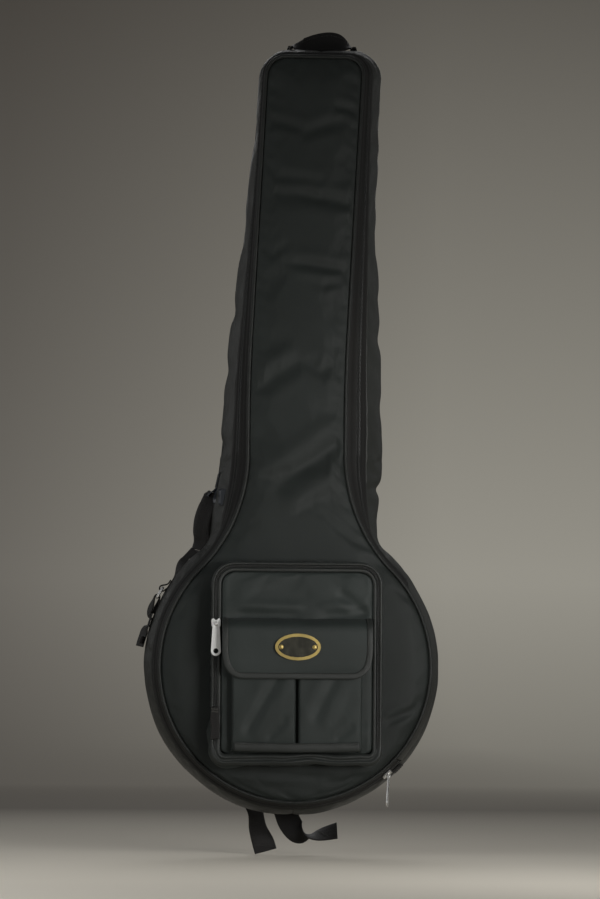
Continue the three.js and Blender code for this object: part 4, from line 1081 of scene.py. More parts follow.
def piping(name: str, y: float, radius: float, body: Body, node: str) -> None:
    """A cord in a sewn cover, all the way round the bag.

    Args:
        name: the piece's name.
        y: the depth.
        radius: the cord's radius.
        body: the body that it rides on.
        node: the CAD node that it stands for.
    """
    work = Work()

    def place(u: float, v: float) -> Vector:
        """A point of the piping's cover."""
        centre = KEYHOLE.skin(ALL_ROUND * u, y, -radius)
        angle = 2 * math.pi * v
        pucker = 1 + 0.05 * noise.noise(Vector((u * 900, v * 3, 0.0)))
        out = KEYHOLE.outward(ALL_ROUND * u, y)
        return centre + (out * math.cos(angle) + ACROSS * math.sin(angle)) * radius * pucker

    work.grid((900, 10), (KEYHOLE.run(0, ALL_ROUND), 2 * math.pi * radius), place)
    work.close()
    work.finish(name, PIPING_CLOTH, body, [node])


@lru_cache(maxsize=8)
def edge_tree(y: float, inset: float) -> KDTree:
    """The outline's points at a depth and an inset, ready for searches.

    Args:
        y: the depth.
        inset: how far inside the outline.

    Returns:
        The search tree.
    """
    steps = 1600
    tree = KDTree(steps)
    for i in range(steps):
        tree.insert(KEYHOLE.skin(ALL_ROUND * i / steps, y, -inset).xz.to_3d(), i)
    tree.balance()
    return tree


def panel_rows(y: float, inset: float, spacing: float) -> list[float]:
    """Places up the right side that make evenly spaced rows, closer at both ends.

    Args:
        y: the depth.
        inset: how far inside the outline.
        spacing: the distance between rows.

    Returns:
        The places.
    """
    places = [0.0, 0.35, 0.7, 1.05, 1.4, 1.8]
    last = KEYHOLE.skin(places[-1], y, -inset).z
    place = places[-1]
    while place < 31.0:
        place = min(place + 0.02, 31.0)
        z = KEYHOLE.skin(place, y, -inset).z
        if z - last >= spacing:
            places.append(place)
            last = z
    return [*places, 31.0]


def keyhole_panel(name: str, finish: ClothFinish, body: Body, nodes: Sequence[str], face_y: float, facing: float,
                  inset: float, crown: float, roll: float, creases: Sequence[Crease],
                  spacing: float = 0.006, columns: int = 60) -> bpy.types.Object:
    """A crowned panel that fills the outline.

    Args:
        name: the piece's name.
        finish: its cloth.
        body: the body that it rides on.
        nodes: the CAD nodes that it stands for.
        face_y: the depth of its face at the edge.
        facing: 1 where it faces +Y and -1 where it faces -Y.
        inset: how far inside the outline it ends.
        crown: how far its middle stands out.
        roll: how far its edge turns back.
        creases: folds across it.
        spacing: the distance between rows.
        columns: the faces across it.

    Returns:
        The new piece, one face thick.
    """
    rows = panel_rows(face_y, inset, spacing)
    tree = edge_tree(face_y, inset)
    work = Work()

    def place(u: float, v: float) -> Vector:
        """A point of the panel's face."""
        row = rows[round(v * (len(rows) - 1))]
        right = KEYHOLE.skin(row, face_y, -inset)
        left = KEYHOLE.skin(ALL_ROUND - row, face_y, -inset)
        point = left.lerp(right, u)
        off = tree.find(point.xz.to_3d())[2]
        rise = crown * (1 - math.exp(-off / 0.018)) - roll * math.exp(-off / 0.0018)
        rise += wrinkle(point, 0.09, 1.7) * 0.0008 * smooth(off / 0.03)
        rise -= sum(crease.at(point.x, point.z) for crease in creases) * smooth(off / 0.01)
        beat = math.sin(2 * math.pi * (point.z + 0.5 * point.x) / 0.019 + 4.0 * wrinkle(point, 0.06, 5.2))
        rise -= 0.0011 * max(beat, -0.2) * math.exp(-((off - 0.006) / 0.006) ** 2)
        return Vector((point.x, face_y + facing * rise, point.z))

    work.grid((columns, len(rows) - 1), None, place)
    work.join()
    return work.finish(name, finish, body, nodes, turned=False, away=forwards if facing < 0 else backwards)


# The lid: panel and piping


@dataclass
class Lid:
    """The front half of the bag, which opens on its hinge."""

    face_y: float = -0.059
    panel_inset: float = 0.0053
    crown: float = 0.005
    piping_y: float = -0.0555
    piping_radius: float = 0.0026
    creases: tuple[Crease, ...] = (
        Crease((-0.010, 0.735), (0.078, 0.722), 0.0079, 0.00319),
        Crease((0.030, 0.703), (0.080, 0.716), 0.007, 0.00232),
        Crease((-0.036, 0.428), (0.066, 0.500), 0.0176, 0.00435),
        Crease((-0.055, 0.560), (0.010, 0.610), 0.0123, 0.00174),
        Crease((0.120, 0.124), (0.166, 0.144), 0.0062, 0.0029),
        Crease((-0.110, 0.062), (0.060, 0.048), 0.0053, 0.00203),
        Crease((0.046, 0.946), (0.090, 0.937), 0.0062, 0.00348),
        Crease((-0.042, 0.926), (0.008, 0.914), 0.007, 0.00217),
        Crease((0.000, 0.905), (0.050, 0.925), 0.0088, 0.00203),
        Crease((-0.030, 0.851), (0.036, 0.842), 0.0079, 0.00232),
        Crease((-0.004, 0.828), (0.082, 0.812), 0.0097, 0.00232),
    )

    def panel(self) -> None:
        """The padded front panel."""
        obj = keyhole_panel("lid_panel_cloth", LID_CLOTH, Body.LID, ["lid_panel"], self.face_y, -1.0,
                            self.panel_inset, self.crown, 0.0026, self.creases)
        settle(obj, [*border_points(obj), *near_ends(obj)], 0.6, 0.010, 0.0020)
        wall(obj, 0.006)

    def build(self) -> None:
        """Makes the lid's pieces."""
        self.panel()
        piping("lid_piping_cord", self.piping_y, self.piping_radius, Body.LID, "lid_piping")


# Zips and the fabric hinge


@dataclass
class MainZip:
    """The zip round the bag and the strip of cloth that it leaves as a hinge."""

    tape: float = 0.0015
    tooth_pitch: float = 0.0042
    ribs: tuple[float, ...] = (0.0, 0.06, 0.12, 0.2, 0.27, 0.31, 0.5, 0.62, 0.68, 0.74, 0.9, 1.0)
    rises: tuple[float, ...] = (-0.0012, 0.0, 0.0006, 0.0006, 0.0, -0.0003, -0.0004, -0.0003, 0.0001, -0.0003,
                                -0.0003, -0.0006)

    def half(self, name: str, near_y: float, far_y: float, body: Body, node: str) -> None:
        """One half of the zip.

        Args:
            name: the piece's name.
            near_y: the depth of its edge at the seam.
            far_y: the depth of its sewn edge.
            body: the body that it rides on.
            node: the CAD node that it stands for.
        """
        first, last = KEYHOLE.hinge_last + 0.02, KEYHOLE.hinge_first + ALL_ROUND - 0.02

        def place(u: float, v: float) -> Vector:
            """A point of the tape's outer face."""
            i = round(v * (len(self.ribs) - 1))
            rise = self.rises[i] * (1 + 0.3 * noise.noise(Vector((u * 700, 0.0, near_y * 40))))
            return KEYHOLE.skin(lerp(first, last, u), lerp(near_y, far_y, self.ribs[i]), rise + 0.0002)

        cloth(name, ZIP_TAPE, body, [node], (900, len(self.ribs) - 1),
              (KEYHOLE.run(first, last), abs(far_y - near_y)), place, from_middle, self.tape, 0)
        self.coil(f"{name}_coil", near_y, math.copysign(1, far_y - near_y), first, last, body)

    def coil(self, name: str, near_y: float, side: float, first: float, last: float, body: Body) -> None:
        """The zip's coil: one wound thread that shows as slanted teeth.

        Args:
            name: the piece's name.
            near_y: the depth of the tape's edge at the seam.
            side: 1 where the tape lies behind the seam and -1 in front.
            first: the place where it begins.
            last: the place where it ends.
            body: the body that it rides on.
        """
        length = KEYHOLE.run(first, last)
        turns = int(length / self.tooth_pitch)

        def place(u: float, v: float) -> Vector:
            """A point of the coil's ridged bead."""
            angle = math.pi * v
            ridge = 1 + 0.16 * math.sin((u * turns * 2 * math.pi) + 1.4 * v)
            y = near_y + side * (0.00025 + 0.0012 * (1 - math.cos(angle)) * 0.9)
            return KEYHOLE.skin(lerp(first, last, u), y, 0.0002 + 0.0013 * math.sin(angle) * ridge)

        cloth(name, ZIP_COIL, body, [], (turns * 4, 6), (length, 0.004), place, from_middle)

    def hinge(self) -> None:
        """The strip of cloth along the drum's right side that is the lid's hinge, made in its closed shape."""
        first, last = KEYHOLE.hinge_first + 0.02, KEYHOLE.hinge_last - 0.02
        low, high = KEYHOLE.tape_y, KEYHOLE.tape_end_y

        def place(u: float, v: float) -> Vector:
            """A point of the strip's outer face."""
            at, y = lerp(first, last, u), lerp(low, high, v)
            fold = 0.0007 * math.sin(math.pi * v) + 0.0005 * wrinkle(KEYHOLE.skin(at, y), 0.018, 5.0)
            return KEYHOLE.skin(at, y, fold)

        obj = cloth("hinge_cloth", GUSSET_CLOTH, None, ["shell_hinge_band", "lid_hinge_band"], (150, 14),
                    (KEYHOLE.run(first, last), high - low), place, from_middle, 0.0015, 0)
        finalised(obj)
        middle = KEYHOLE.skin(9, KEYHOLE.seam_y)
        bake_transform(obj)

    def build(self) -> None:
        """Makes both halves of the zip and the hinge."""
        self.half("shell_zip_tape", KEYHOLE.seam_y + 0.00015, KEYHOLE.tape_end_y, Body.SHELL, "shell_zip")
        self.half("lid_zip_tape", KEYHOLE.seam_y - 0.00015, KEYHOLE.tape_y, Body.LID, "lid_zip")
        self.hinge()


def finalised(obj: bpy.types.Object) -> None:
    """Applies a piece's modifiers, so that its mesh is the one that shows.

    Args:
        obj: the piece.
    """
    mesh = bpy.data.meshes.new_from_object(obj.evaluated_get(bpy.context.evaluated_depsgraph_get()))
    old = obj.data
    obj.modifiers.clear()
    obj.data = mesh
    bpy.data.meshes.remove(old)
    mesh.name = obj.name


# Stitching


def stitches(name: str, line: Sequence[Vector], out: Vector, body: Body, pitch: float = 0.0042,
             size: float = 0.0011) -> None:
    """A row of stitches along a line.

    Args:
        name: the piece's name.
        line: the seam's line.
        out: the direction away from the cloth.
        body: the body that it rides on.
        pitch: the distance from stitch to stitch.
        size: half the thread's width.
    """
    work = Work()
    reached, wanted = 0.0, pitch / 2
    for a, b in zip(line, line[1:]):
        step = (b - a).length
        while step > 0 and wanted <= reached + step:
            spot = a.lerp(b, (wanted - reached) / step)
            along = (b - a).normalized()
            side = along.cross(out).normalized()
            turn = Matrix((along, side, out)).transposed().to_4x4()
            shape = Matrix.Diagonal((pitch * 0.34, size * 0.5, size * 0.42, 1.0))
            whole = Matrix.Translation(spot) @ turn @ shape
            for vert in bmesh.ops.create_icosphere(work.bm, subdivisions=1, radius=1.0, matrix=whole)["verts"]:
                vert[work.weave] = Vector((wanted, 0.0, 0.0))
            wanted += pitch
        reached += step
    work.finish(name, THREAD, body, turned=False)


# Rounded pockets


@dataclass(frozen=True)
class RoundedBox:
    """A rounded rectangle in the plane of X and Z, with a point for each share of its way round."""

    left: float
    right: float
    bottom: float
    top: float
    lower_corner: float
    upper_corner: float

    @lru_cache(maxsize=4)
    def _line(self) -> tuple[tuple[Vector, Vector, float], ...]:
        """Points, outward directions and running lengths, from the middle of the lower edge, anticlockwise.

        Returns:
            The stops.
        """
        made: list[tuple[Vector, Vector]] = []
        middle = (self.left + self.right) / 2
        corners = (
            (self.right - self.lower_corner, self.bottom + self.lower_corner, self.lower_corner, -math.pi / 2),
            (self.right - self.upper_corner, self.top - self.upper_corner, self.upper_corner, 0.0),
            (self.left + self.upper_corner, self.top - self.upper_corner, self.upper_corner, math.pi / 2),
            (self.left + self.lower_corner, self.bottom + self.lower_corner, self.lower_corner, math.pi),
        )
        made.append((Vector((middle, self.bottom)), Vector((0.0, -1.0))))
        for x, z, radius, start in corners:
            for i in range(13):
                angle = start + math.pi / 2 * i / 12
                way = Vector((math.cos(angle), math.sin(angle)))
                made.append((Vector((x, z)) + way * radius, way))
        made.append(made[0])
        runs = [0.0]
        for (a, _), (b, _) in zip(made, made[1:]):
            runs.append(runs[-1] + (b - a).length)
        return tuple((point, way, run) for (point, way), run in zip(made, runs))

    @property
    def around(self) -> float:
        """The length of the way round."""
        return self._line()[-1][2]

    def at(self, share: float, inset: float = 0.0) -> tuple[Vector, Vector]:
        """The point at a share of the way round, an inset inwards, and its outward direction.

        Args:
            share: the share of the way along.
            inset: how far inwards.

        Returns:
            The point and the direction.
        """
        line = self._line()
        wanted = (share % 1.0) * line[-1][2]
        for (a, way_a, run_a), (b, way_b, run_b) in zip(line, line[1:]):
            if wanted <= run_b and run_b > run_a:
                part = (wanted - run_a) / (run_b - run_a)
                way = way_a.lerp(way_b, part).normalized()
                return a.lerp(b, part) - way * inset, way
        return line[-1][0] - line[-1][1] * inset, line[-1][1]

    def half_width(self, z: float, inset: float = 0.0) -> float:
        """Half the width at a height, with all edges drawn in by an inset.

        Args:
            z: the height.
            inset: how far inwards.

        Returns:
            Half the width.
        """
        half = (self.right - self.left) / 2 - inset
        low, high = z - (self.bottom + inset), (self.top - inset) - z
        for distance, corner in ((low, self.lower_corner - inset), (high, self.upper_corner - inset)):
            corner = max(corner, 0.001)
            if distance < corner:
                half -= corner - math.sqrt(max(corner ** 2 - (corner - distance) ** 2, 0.0))
        return half


POCKET = RoundedBox(-0.113, 0.113, 0.069, 0.334, 0.020, 0.030)


@dataclass
class BigPocket:
    """The big front pocket: soft side wall, sewn border with a zip, and the front that swings down."""

    back_y: float = -0.0643
    wall_y: float = -0.0903
    border_y: float = -0.0936
    border: float = 0.013
    coil_inset: float = 0.004
    coil_width: float = 0.004
    tooth_pitch: float = 0.0036
    zip_start: float = 0.075
    zip_end: float = 0.925
    front_y: float = -0.0932
    front_inset: float = 0.0133
    stops: tuple[float, ...] = (0.0, 0.0004, 0.0014, 0.0028, 0.0036, 0.0042, 0.006, 0.0078, 0.0086, 0.0094, 0.0112,
                                0.0122, 0.013)
    rises: tuple[float, ...] = (-0.0026, -0.0008, 0.0002, 0.0002, -0.0002, -0.0012, -0.0014, -0.0012, -0.0002,
                                0.0001, 0.0001, -0.0003, -0.0014)
    creases: tuple[Crease, ...] = (
        Crease((-0.09, 0.098), (0.095, 0.086), 0.006, 0.0016),
        Crease((-0.085, 0.265), (0.010, 0.262), 0.008, 0.0032),
        Crease((0.030, 0.262), (0.098, 0.267), 0.008, 0.0030),
        Crease((0.052, 0.296), (0.096, 0.264), 0.008, 0.0026),
        Crease((-0.060, 0.305), (0.020, 0.285), 0.016, 0.0010),
    )

    def side(self) -> None:
        """The side wall, which slumps in folds below."""

        def place(u: float, v: float) -> Vector:
            """A point of the wall's outer face."""
            point, way = POCKET.at(u)
            y = lerp(self.back_y + 0.001, self.wall_y - 0.0001, v)
            low = smooth((0.12 - point.y) / 0.06)
            spot = Vector((point.x, y, point.y))
            left = smooth((-0.06 - point.x) / 0.04) * smooth((0.165 - point.y) / 0.08)
            fold = (0.0016 + 0.0042 * math.sin(v * math.pi * 3.0 + 1.6 * wrinkle(spot, 0.05, 2.0))) * low
            soft = wrinkle(spot, 0.03, 6.6) * (0.0016 + 0.0056 * left) + 0.0030 * left
            out = (soft + fold) * math.sin(math.pi * v) - 0.0008 * math.sin(math.pi * v)
            return Vector((point.x + way.x * out, y, point.y + way.y * out))

        obj = cloth("pocket_side_cloth", POCKET_CLOTH_LIT, Body.LID, ["pocket_wall"], (260, 12),
                    (POCKET.around, self.back_y - self.wall_y), place, from_pocket, joined=True)
        settle(obj, border_points(obj), 0.4, 0.03, 0.0022)
        wall(obj, 0.004)

    def rim(self) -> None:
        """The border: bound outer edge, zip and inner tape, as one sewn frame."""
        last = len(self.stops) - 1

        def place(u: float, v: float) -> Vector:
            """A point of the border's face."""
            i = round(v * last)
            point, _ = POCKET.at(u, self.stops[i])
            spot = Vector((point.x, 0.0, point.y))
            low = smooth((0.100 - point.y) / 0.024)
            share = self.stops[i] / self.border
            along = Vector((point.x, 0.0, 0.0))
            valley = 0.52 + 0.16 * wrinkle(along, 0.05, 3.3)
            slump = 0.0034 * math.sin(math.pi * share) ** 0.6 * (1 + 0.5 * wrinkle(along, 0.035, 8.1))
            slump -= 0.0036 * math.exp(-((share - valley) / 0.11) ** 2)
            rise = self.rises[i] * (1 - low) + 0.0003 * wrinkle(spot, 0.025, 4.0) + (0.0006 + slump) * low
            lift = (0.0030 * wrinkle(along, 0.045, 21.0) - 0.0022 * (1 - share)) * low
            return Vector((point.x, self.border_y - rise, point.y + lift))

        cloth("pocket_border_cloth", BINDING, Body.LID, ["pocket_border"], (360, last), (POCKET.around, self.border),
              place, forwards, 0.0016, joined=True)

    def coil(self) -> None:
        """The pocket's zip: two meshed rows of teeth up the left side, over the top and down the right."""
        length = POCKET.around * (self.zip_end - self.zip_start)
        turns = int(length / self.tooth_pitch)

        def place(u: float, v: float) -> Vector:
            """A point of the coil's ridged face."""
            phase = u * turns * 2 * math.pi + (1.6 if v > 0.5 else -1.6) * abs(v - 0.5) * 2
            rise = 0.0007 * math.sin(math.pi * min(v, 1 - v) * 2) * (1 + 0.3 * math.sin(phase))
            point, _ = POCKET.at(lerp(self.zip_start, self.zip_end, u), self.coil_inset + self.coil_width * v)
            return Vector((point.x, self.border_y + 0.0003 - rise, point.y))

        cloth("pocket_zip_coil", ZIP_COIL, Body.LID, ["pocket_coil"], (turns * 4, 8), (length, self.coil_width),
              place, forwards, 0.0004, 0)

    def front(self) -> None:
        """The front of the pocket."""
        low, high = POCKET.bottom + self.front_inset, POCKET.top - self.front_inset

        def place(u: float, v: float) -> Vector:
            """A point of the pocket's front."""
            eased = (1 - math.cos(math.pi * v)) / 2 * 0.35 + v * 0.65
            z = lerp(low, high, eased)
            x = lerp(-1, 1, u) * POCKET.half_width(z, self.front_inset)
            edge = min(z - low, high - z, POCKET.half_width(z, self.front_inset) - abs(x))
            rise = 0.0006 * smooth(edge / 0.03) - 0.0016 * math.exp(-max(edge, 0.0) / 0.0015)
            spot = Vector((x, 0.0, z))
            rise += wrinkle(spot, 0.06, 9.0) * 0.0006 * smooth(edge / 0.02)
            rise -= sum(crease.at(x, z) for crease in self.creases) * smooth(edge / 0.008)
            return Vector((x, self.front_y - rise, z))

        obj = cloth("pocket_front_cloth", POCKET_CLOTH_LIT, Body.POCKET_DOOR, ["pocket_front"], (44, 54), None, place,
                    forwards)
        settle(obj, border_points(obj), 0.0, 0.010, 0.0007)
        wall(obj, 0.0024)

    def seams(self) -> None:
        """Two rows of stitches round the border."""
        for label, inset in (("outer", 0.0032), ("inner", 0.0104)):
            points = [POCKET.at(i / 360, inset)[0] for i in range(361)]
            stitches(f"pocket_border_stitches_{label}",
                     [Vector((point.x, self.border_y - 0.0001, point.y)) for point in points], FRONT, Body.LID)

    def build(self) -> None:
        """Makes the pocket's pieces."""
        self.side()
        self.rim()
        self.coil()
        self.front()
        self.seams()


@dataclass
class SmallPockets:
    """The two small pockets with pleated sides and one bound lower edge."""

    outer: float = 0.086
    inner: float = 0.0015
    bottom: float = 0.085
    top: float = 0.207
    back_y: float = -0.0939
    depth: float = 0.013
    pleat: float = 0.0035
    hem_top: float = 0.097
    hem_half: float = 0.0825
    hem_y: float = -0.1072
    hem_stitch_y: float = -0.1092
    strip_height: float = 0.014
    strip_inner: float = 0.0155
    strip_outer: float = 0.072
    loop_y: float = -0.1084
    hook_y: float = -0.1099
    creases: tuple[Crease, ...] = (
        Crease((-0.070, 0.105), (-0.020, 0.190), 0.009, 0.0028),
        Crease((-0.040, 0.100), (-0.012, 0.130), 0.006, 0.0018),
        Crease((0.020, 0.120), (0.052, 0.185), 0.010, 0.0018),
        Crease((0.050, 0.100), (0.076, 0.120), 0.006, 0.0014),
    )

    def pocket(self, name: str, near: float, far: float, node: str) -> None:
        """One pocket, open above.

        Args:
            name: the piece's name.
            near: the side next to the middle.
            far: the outer side.
            node: the CAD node that it stands for.
        """
        sign = math.copysign(1, far - near)
        pleat = [(0.0, 0.0), (self.pleat, self.depth / 3), (0.0003, self.depth * 0.66),
                 (self.pleat * 0.5, self.depth * 0.94), (0.008, self.depth)]
        plan = [*[(near + sign * a, b) for a, b in pleat],
                *[(lerp(near, far, share), self.depth) for share in (0.3, 0.5, 0.7)],
                *[(far - sign * a, b) for a, b in reversed(pleat)]]
        line = through([Vector((x, y, 0.0)) for x, y in plan], 6)
        work = Work()

        def place(u: float, v: float) -> Vector:
            """A point of the pocket's outer face."""
            spot = at_share(line, u)
            z = lerp(self.bottom, self.top, v)
            out = spot.y * (1 - 0.10 * (1 - smooth(v / 0.2)))
            flat = smooth((spot.y / self.depth - 0.9) * 10)
            soft = wrinkle(Vector((spot.x, 0.0, z)), 0.03, 12.0) * 0.0008 * flat
            folds = sum(crease.at(spot.x, z) for crease in self.creases) * flat
            sag = 0.0006 * math.sin(math.pi * v) * flat
            return Vector((spot.x, self.back_y - min(out - 0.0012 + soft + sag - folds, self.depth), z))

        made = work.grid((len(line) - 1, 26), (length_of(line), self.top - self.bottom), place)
        loops = {vert for vert in made if vert.co.z < self.bottom + 1e-6}
        edges = [edge for edge in work.bm.edges if all(vert in loops for vert in edge.verts)]
        for item in bmesh.ops.extrude_edge_only(work.bm, edges=edges)["geom"]:
            if isinstance(item, bmesh.types.BMVert):
                item.co.y = self.back_y
                item.co.z += 0.0004
        obj = work.finish(name, POCKET_CLOTH_LIT, Body.POCKET_DOOR, [node], away=forwards)
        wall(obj, 0.0012)
        height, width = self.top - self.bottom, length_of(line)

    def hem(self) -> None:
        """The bound lower edge across both pockets."""
        low, high, half = self.bottom, self.hem_top, self.hem_half

        def place(u: float, v: float) -> Vector:
            """A point of the band's face."""
            x = lerp(-half, half, u)
            z = lerp(low, high, v) - 0.0008 * math.cos(x * 30)
            rise = 0.0019 * math.sin(math.pi * min(max(v, 0.02), 0.98)) ** 0.4
            rise += 0.0003 * wrinkle(Vector((x, 0.0, z)), 0.02, 7.0)
            return Vector((x, self.hem_y - rise, z))

        cloth("small_pocket_hem_cloth", BINDING, Body.POCKET_DOOR, ["small_pocket_hem"], (60, 8),
              (2 * half, high - low), place, forwards, 0.0012)
        line = [Vector((lerp(-half + 0.003, half - 0.003, i / 60), self.hem_stitch_y, high - 0.0028))
                for i in range(61)]
        stitches("small_pocket_hem_stitches", line, FRONT, Body.POCKET_DOOR, 0.0036)

    def strips(self) -> None:
        """The hook and loop strips that hold the flap."""
        inner, outer, height = self.strip_inner, self.strip_outer, self.strip_height
        for name, left, right, front, node, body in (
            ("loop_strip_left_pile", -outer, -inner, self.loop_y, "loop_strip_left", Body.POCKET_DOOR),
            ("loop_strip_right_pile", inner, outer, self.loop_y, "loop_strip_right", Body.POCKET_DOOR),
            ("flap_hook_strip_pile", -outer, outer, self.hook_y, "flap_hook_strip", Body.FLAP),
        ):
            low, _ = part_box(node)

            def place(u: float, v: float) -> Vector:
                """A point of the strip's face."""
                return Vector((lerp(left, right, u), front, low[2] + height * v))

            cloth(name, PLUSH, body, [node], (40, 8), (right - left, height), place,
                  forwards if body is Body.POCKET_DOOR else backwards, 0.0011, 0)

    def build(self) -> None:
        """Makes the pockets' pieces."""
        self.pocket("small_pocket_left_cloth", -self.inner, -self.outer, "small_pocket_left")
        self.pocket("small_pocket_right_cloth", self.inner, self.outer, "small_pocket_right")
        self.hem()
        self.strips()


@dataclass(frozen=True)
class Flap:
    """The flap over the small pockets, with its bound edge and the badge."""

    seam_z: float = 0.257
    face_y: float = -0.0939
    drop: float = 0.077
    half: float = 0.099
    corner: float = 0.028
    standoff: float = 0.0166
    bend: float = 0.015
    binding: float = 0.008
    panel: float = 0.003

    @lru_cache(maxsize=1)
    def _line(self) -> tuple[Vector, ...]:
        """The flap's path from its seam to its lower edge, as distance out and down."""
        stops = [(0.0003, 0.0), (0.45 * self.standoff, 0.2 * self.bend), (0.85 * self.standoff, 0.6 * self.bend),
                 (self.standoff, 1.3 * self.bend), (self.standoff, 0.5 * self.drop),
                 (self.standoff, 0.8 * self.drop), (self.standoff, self.drop)]
        return tuple(through([Vector((a, -b, 0.0)) for a, b in stops], 8))

    def point(self, x: float, run: float, out: float) -> Vector:
        """A point of the flap at a share of its drop and a distance out.

        Args:
            x: the place across.
            run: the share of the drop.
            out: the distance out.

        Returns:
            The point.
        """
        line = self._line()
        spot = at_share(line, run)
        ahead = at_share(line, min(run + 0.02, 1.0)) - at_share(line, max(run - 0.02, 0.0))
        normal = Vector((-ahead.y, ahead.x, 0.0)).normalized()
        return Vector((x, self.face_y - spot.x - normal.x * out, self.seam_z + spot.y + normal.y * out))

    def half_at(self, run: float, inset: float) -> float:
        """Half the flap's width at a share of its drop.

        Args:
            run: the share of the drop.
            inset: how far inside its edge.

        Returns:
            Half the width.
        """
        length = length_of(self._line())
        radius = max(self.corner - inset, 0.001)
        past = max(run * length - (length - inset - radius), 0.0)
        return self.half - inset - radius + math.sqrt(max(radius ** 2 - past ** 2, 0.0))

    def sheet(self) -> None:
        """The flap's cloth."""
        last = 1 - (self.binding - 0.001) / length_of(self._line())

        def place(u: float, v: float) -> Vector:
            """A point of the flap's face."""
            run = last * (v * 0.75 + 0.25 * math.sin(math.pi / 2 * v))
            x = lerp(-1, 1, u) * self.half_at(run, self.binding - 0.001)
            spot = Vector((x, 0.0, run * 0.08))
            edge = min(1.0, (1 - abs(2 * u - 1)) * 8, (1 - v) * 8)
            soft = wrinkle(spot, 0.04, 15.0) * 0.0005 * edge
            return self.point(x, run, self.panel - 0.0009 + soft + 0.0005 * smooth(edge))

        obj = cloth("flap_cloth", POCKET_CLOTH_LIT, Body.FLAP, ["flap_panel"], (48, 30),
                    (2 * self.half, length_of(self._line())), place, forwards, 0.0022)

    def edging(self) -> None:
        """The folded binding down the left edge, along the bottom and up the right."""
        work = Work()
        line = self._line()
        length = length_of(line)
        straight = (length - self.corner) / length
        corner_steps, side_steps, middle_steps = 10, 22, 40
        inner = self.corner - self.binding
        left: list[tuple[float, float, float, float]] = []
        for i in range(side_steps + 1):
            run = straight * i / side_steps
            left.append((-self.half, run, -self.half + self.binding, run))
        for i in range(1, corner_steps + 1):
            angle = math.pi / 2 * i / corner_steps
            left.append((-self.half + self.corner - self.corner * math.cos(angle),
                         straight + math.sin(angle) * self.corner / length,
                         -self.half + self.corner - inner * math.cos(angle),
                         straight + math.sin(angle) * inner / length))
        right = [(-a, b, -c, d) for a, b, c, d in reversed(left)]
        bottom = left[-1]
        middle = [(lerp(bottom[0], -bottom[0], i / middle_steps), bottom[1],
                   lerp(bottom[2], -bottom[2], i / middle_steps), bottom[3]) for i in range(1, middle_steps)]
        path = [*left, *middle, *right]

        def place(u: float, v: float) -> Vector:
            """A point of the binding's cover."""
            outer_x, outer_run, inner_x, inner_run = path[round(u * (len(path) - 1))]
            a, b = rounded_section(2 * math.pi * v, 0.5, 0.0021, 0.4)
            share = a + 0.5
            x, run = lerp(outer_x, inner_x, share), lerp(outer_run, inner_run, share)
            pucker = 0.0002 * noise.noise(Vector((x * 300, run * 40, 0.0)))
            return self.point(x, run, 0.0015 + b * (0.86 + 0.14 * math.cos(math.pi * a)) + pucker)

        for vert in work.grid((len(path) - 1, 18), None, place):
            vert[work.weave] = Vector((vert.co.x + vert.co.y, vert.co.z, 0.0))
        work.close()
        work.finish("flap_binding_cloth", BINDING, Body.FLAP, ["flap_binding"])
        seam = [self.point(lerp(outer_x, inner_x, 0.78), lerp(outer_run, inner_run, 0.78), 0.0034)
                for outer_x, outer_run, inner_x, inner_run in path]
        stitches("flap_binding_stitches", seam, FRONT, Body.FLAP, 0.0036)

    def build(self) -> None:
        """Makes the flap's pieces."""
        self.edging()
        self.sheet()


@dataclass(frozen=True)
class Badge:
    """The oval badge: gold rim and rivets round a plain dark face."""

    rim_edge: float = 0.0006
    face_edge: float = 0.0004
    rivet_edge: float = 0.0003

    def build(self) -> None:
        """Dresses the badge's pieces."""
        dressed("badge_rim", GOLD, self.rim_edge)
        dressed("badge_face", ENAMEL, self.face_edge)
        for side in ("left", "right"):
            dressed(f"badge_rivet_{side}", GOLD, self.rivet_edge)


def dressed(node: str, finish: HardFinish, edge: float) -> None:
    """Gives a piece of the frame its finish and softened edges.

    Args:
        node: the piece of the frame.
        finish: its finish.
        edge: how far its edges are rounded.
    """
    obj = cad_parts[node]
    obj.material_slots[0].material = material_of(finish)
    softened = obj.modifiers.new("softened", "BEVEL")
    softened.width = edge
    softened.segments = 2
    softened.limit_method = "ANGLE"
    softened.angle_limit = math.radians(40)


# Handles, webbing and hardware


def sewn_line(upper: float, lower: float, depth: float, out: float, steps: int) -> list[Vector]:
    """A line down the left gusset between two heights, at a depth and a distance out.

    Args:
        upper: the height where it begins.
        lower: the height where it ends.
        depth: the depth.
        out: the distance out from the skin.
        steps: its steps.

    Returns:
        The line's stops.
    """
    heights = [lerp(upper, lower, i / steps) for i in range(steps + 1)]
    drawn = [Shell.fold(z, Shell.folds_left) for z in heights]
    return [KEYHOLE.skin(KEYHOLE.left_place(z, depth), depth, out - d) for z, d in zip(heights, drawn)]


def box_stitches(name: str, line: Sequence[Vector], across: Vector, width: float, out: Vector, body: Body) -> None:
    """A sewn box with a cross in it on a webbing end.

    Args:
        name: the piece's name.
        line: the webbing's face line between the box's ends.
        across: the direction of the webbing's width.
        width: the box's width.
        out: the direction away from the webbing.
        body: the body that it rides on.
    """
    half = across.normalized() * (width / 2)
    left, right = [p - half for p in line], [p + half for p in line]
    last = len(line) - 1
    crossing = [left[i].lerp(right[i], i / last) for i in range(last + 1)]
    back = [right[i].lerp(left[i], i / last) for i in range(last + 1)]
    route = [*left, *[left[-1].lerp(right[-1], i / 8) for i in range(1, 8)], *reversed(right),
             *[right[0].lerp(left[0], i / 8) for i in range(1, 9)], *crossing, *reversed(right), *back]
    stitches(name, route, out, body, 0.0032, 0.001)


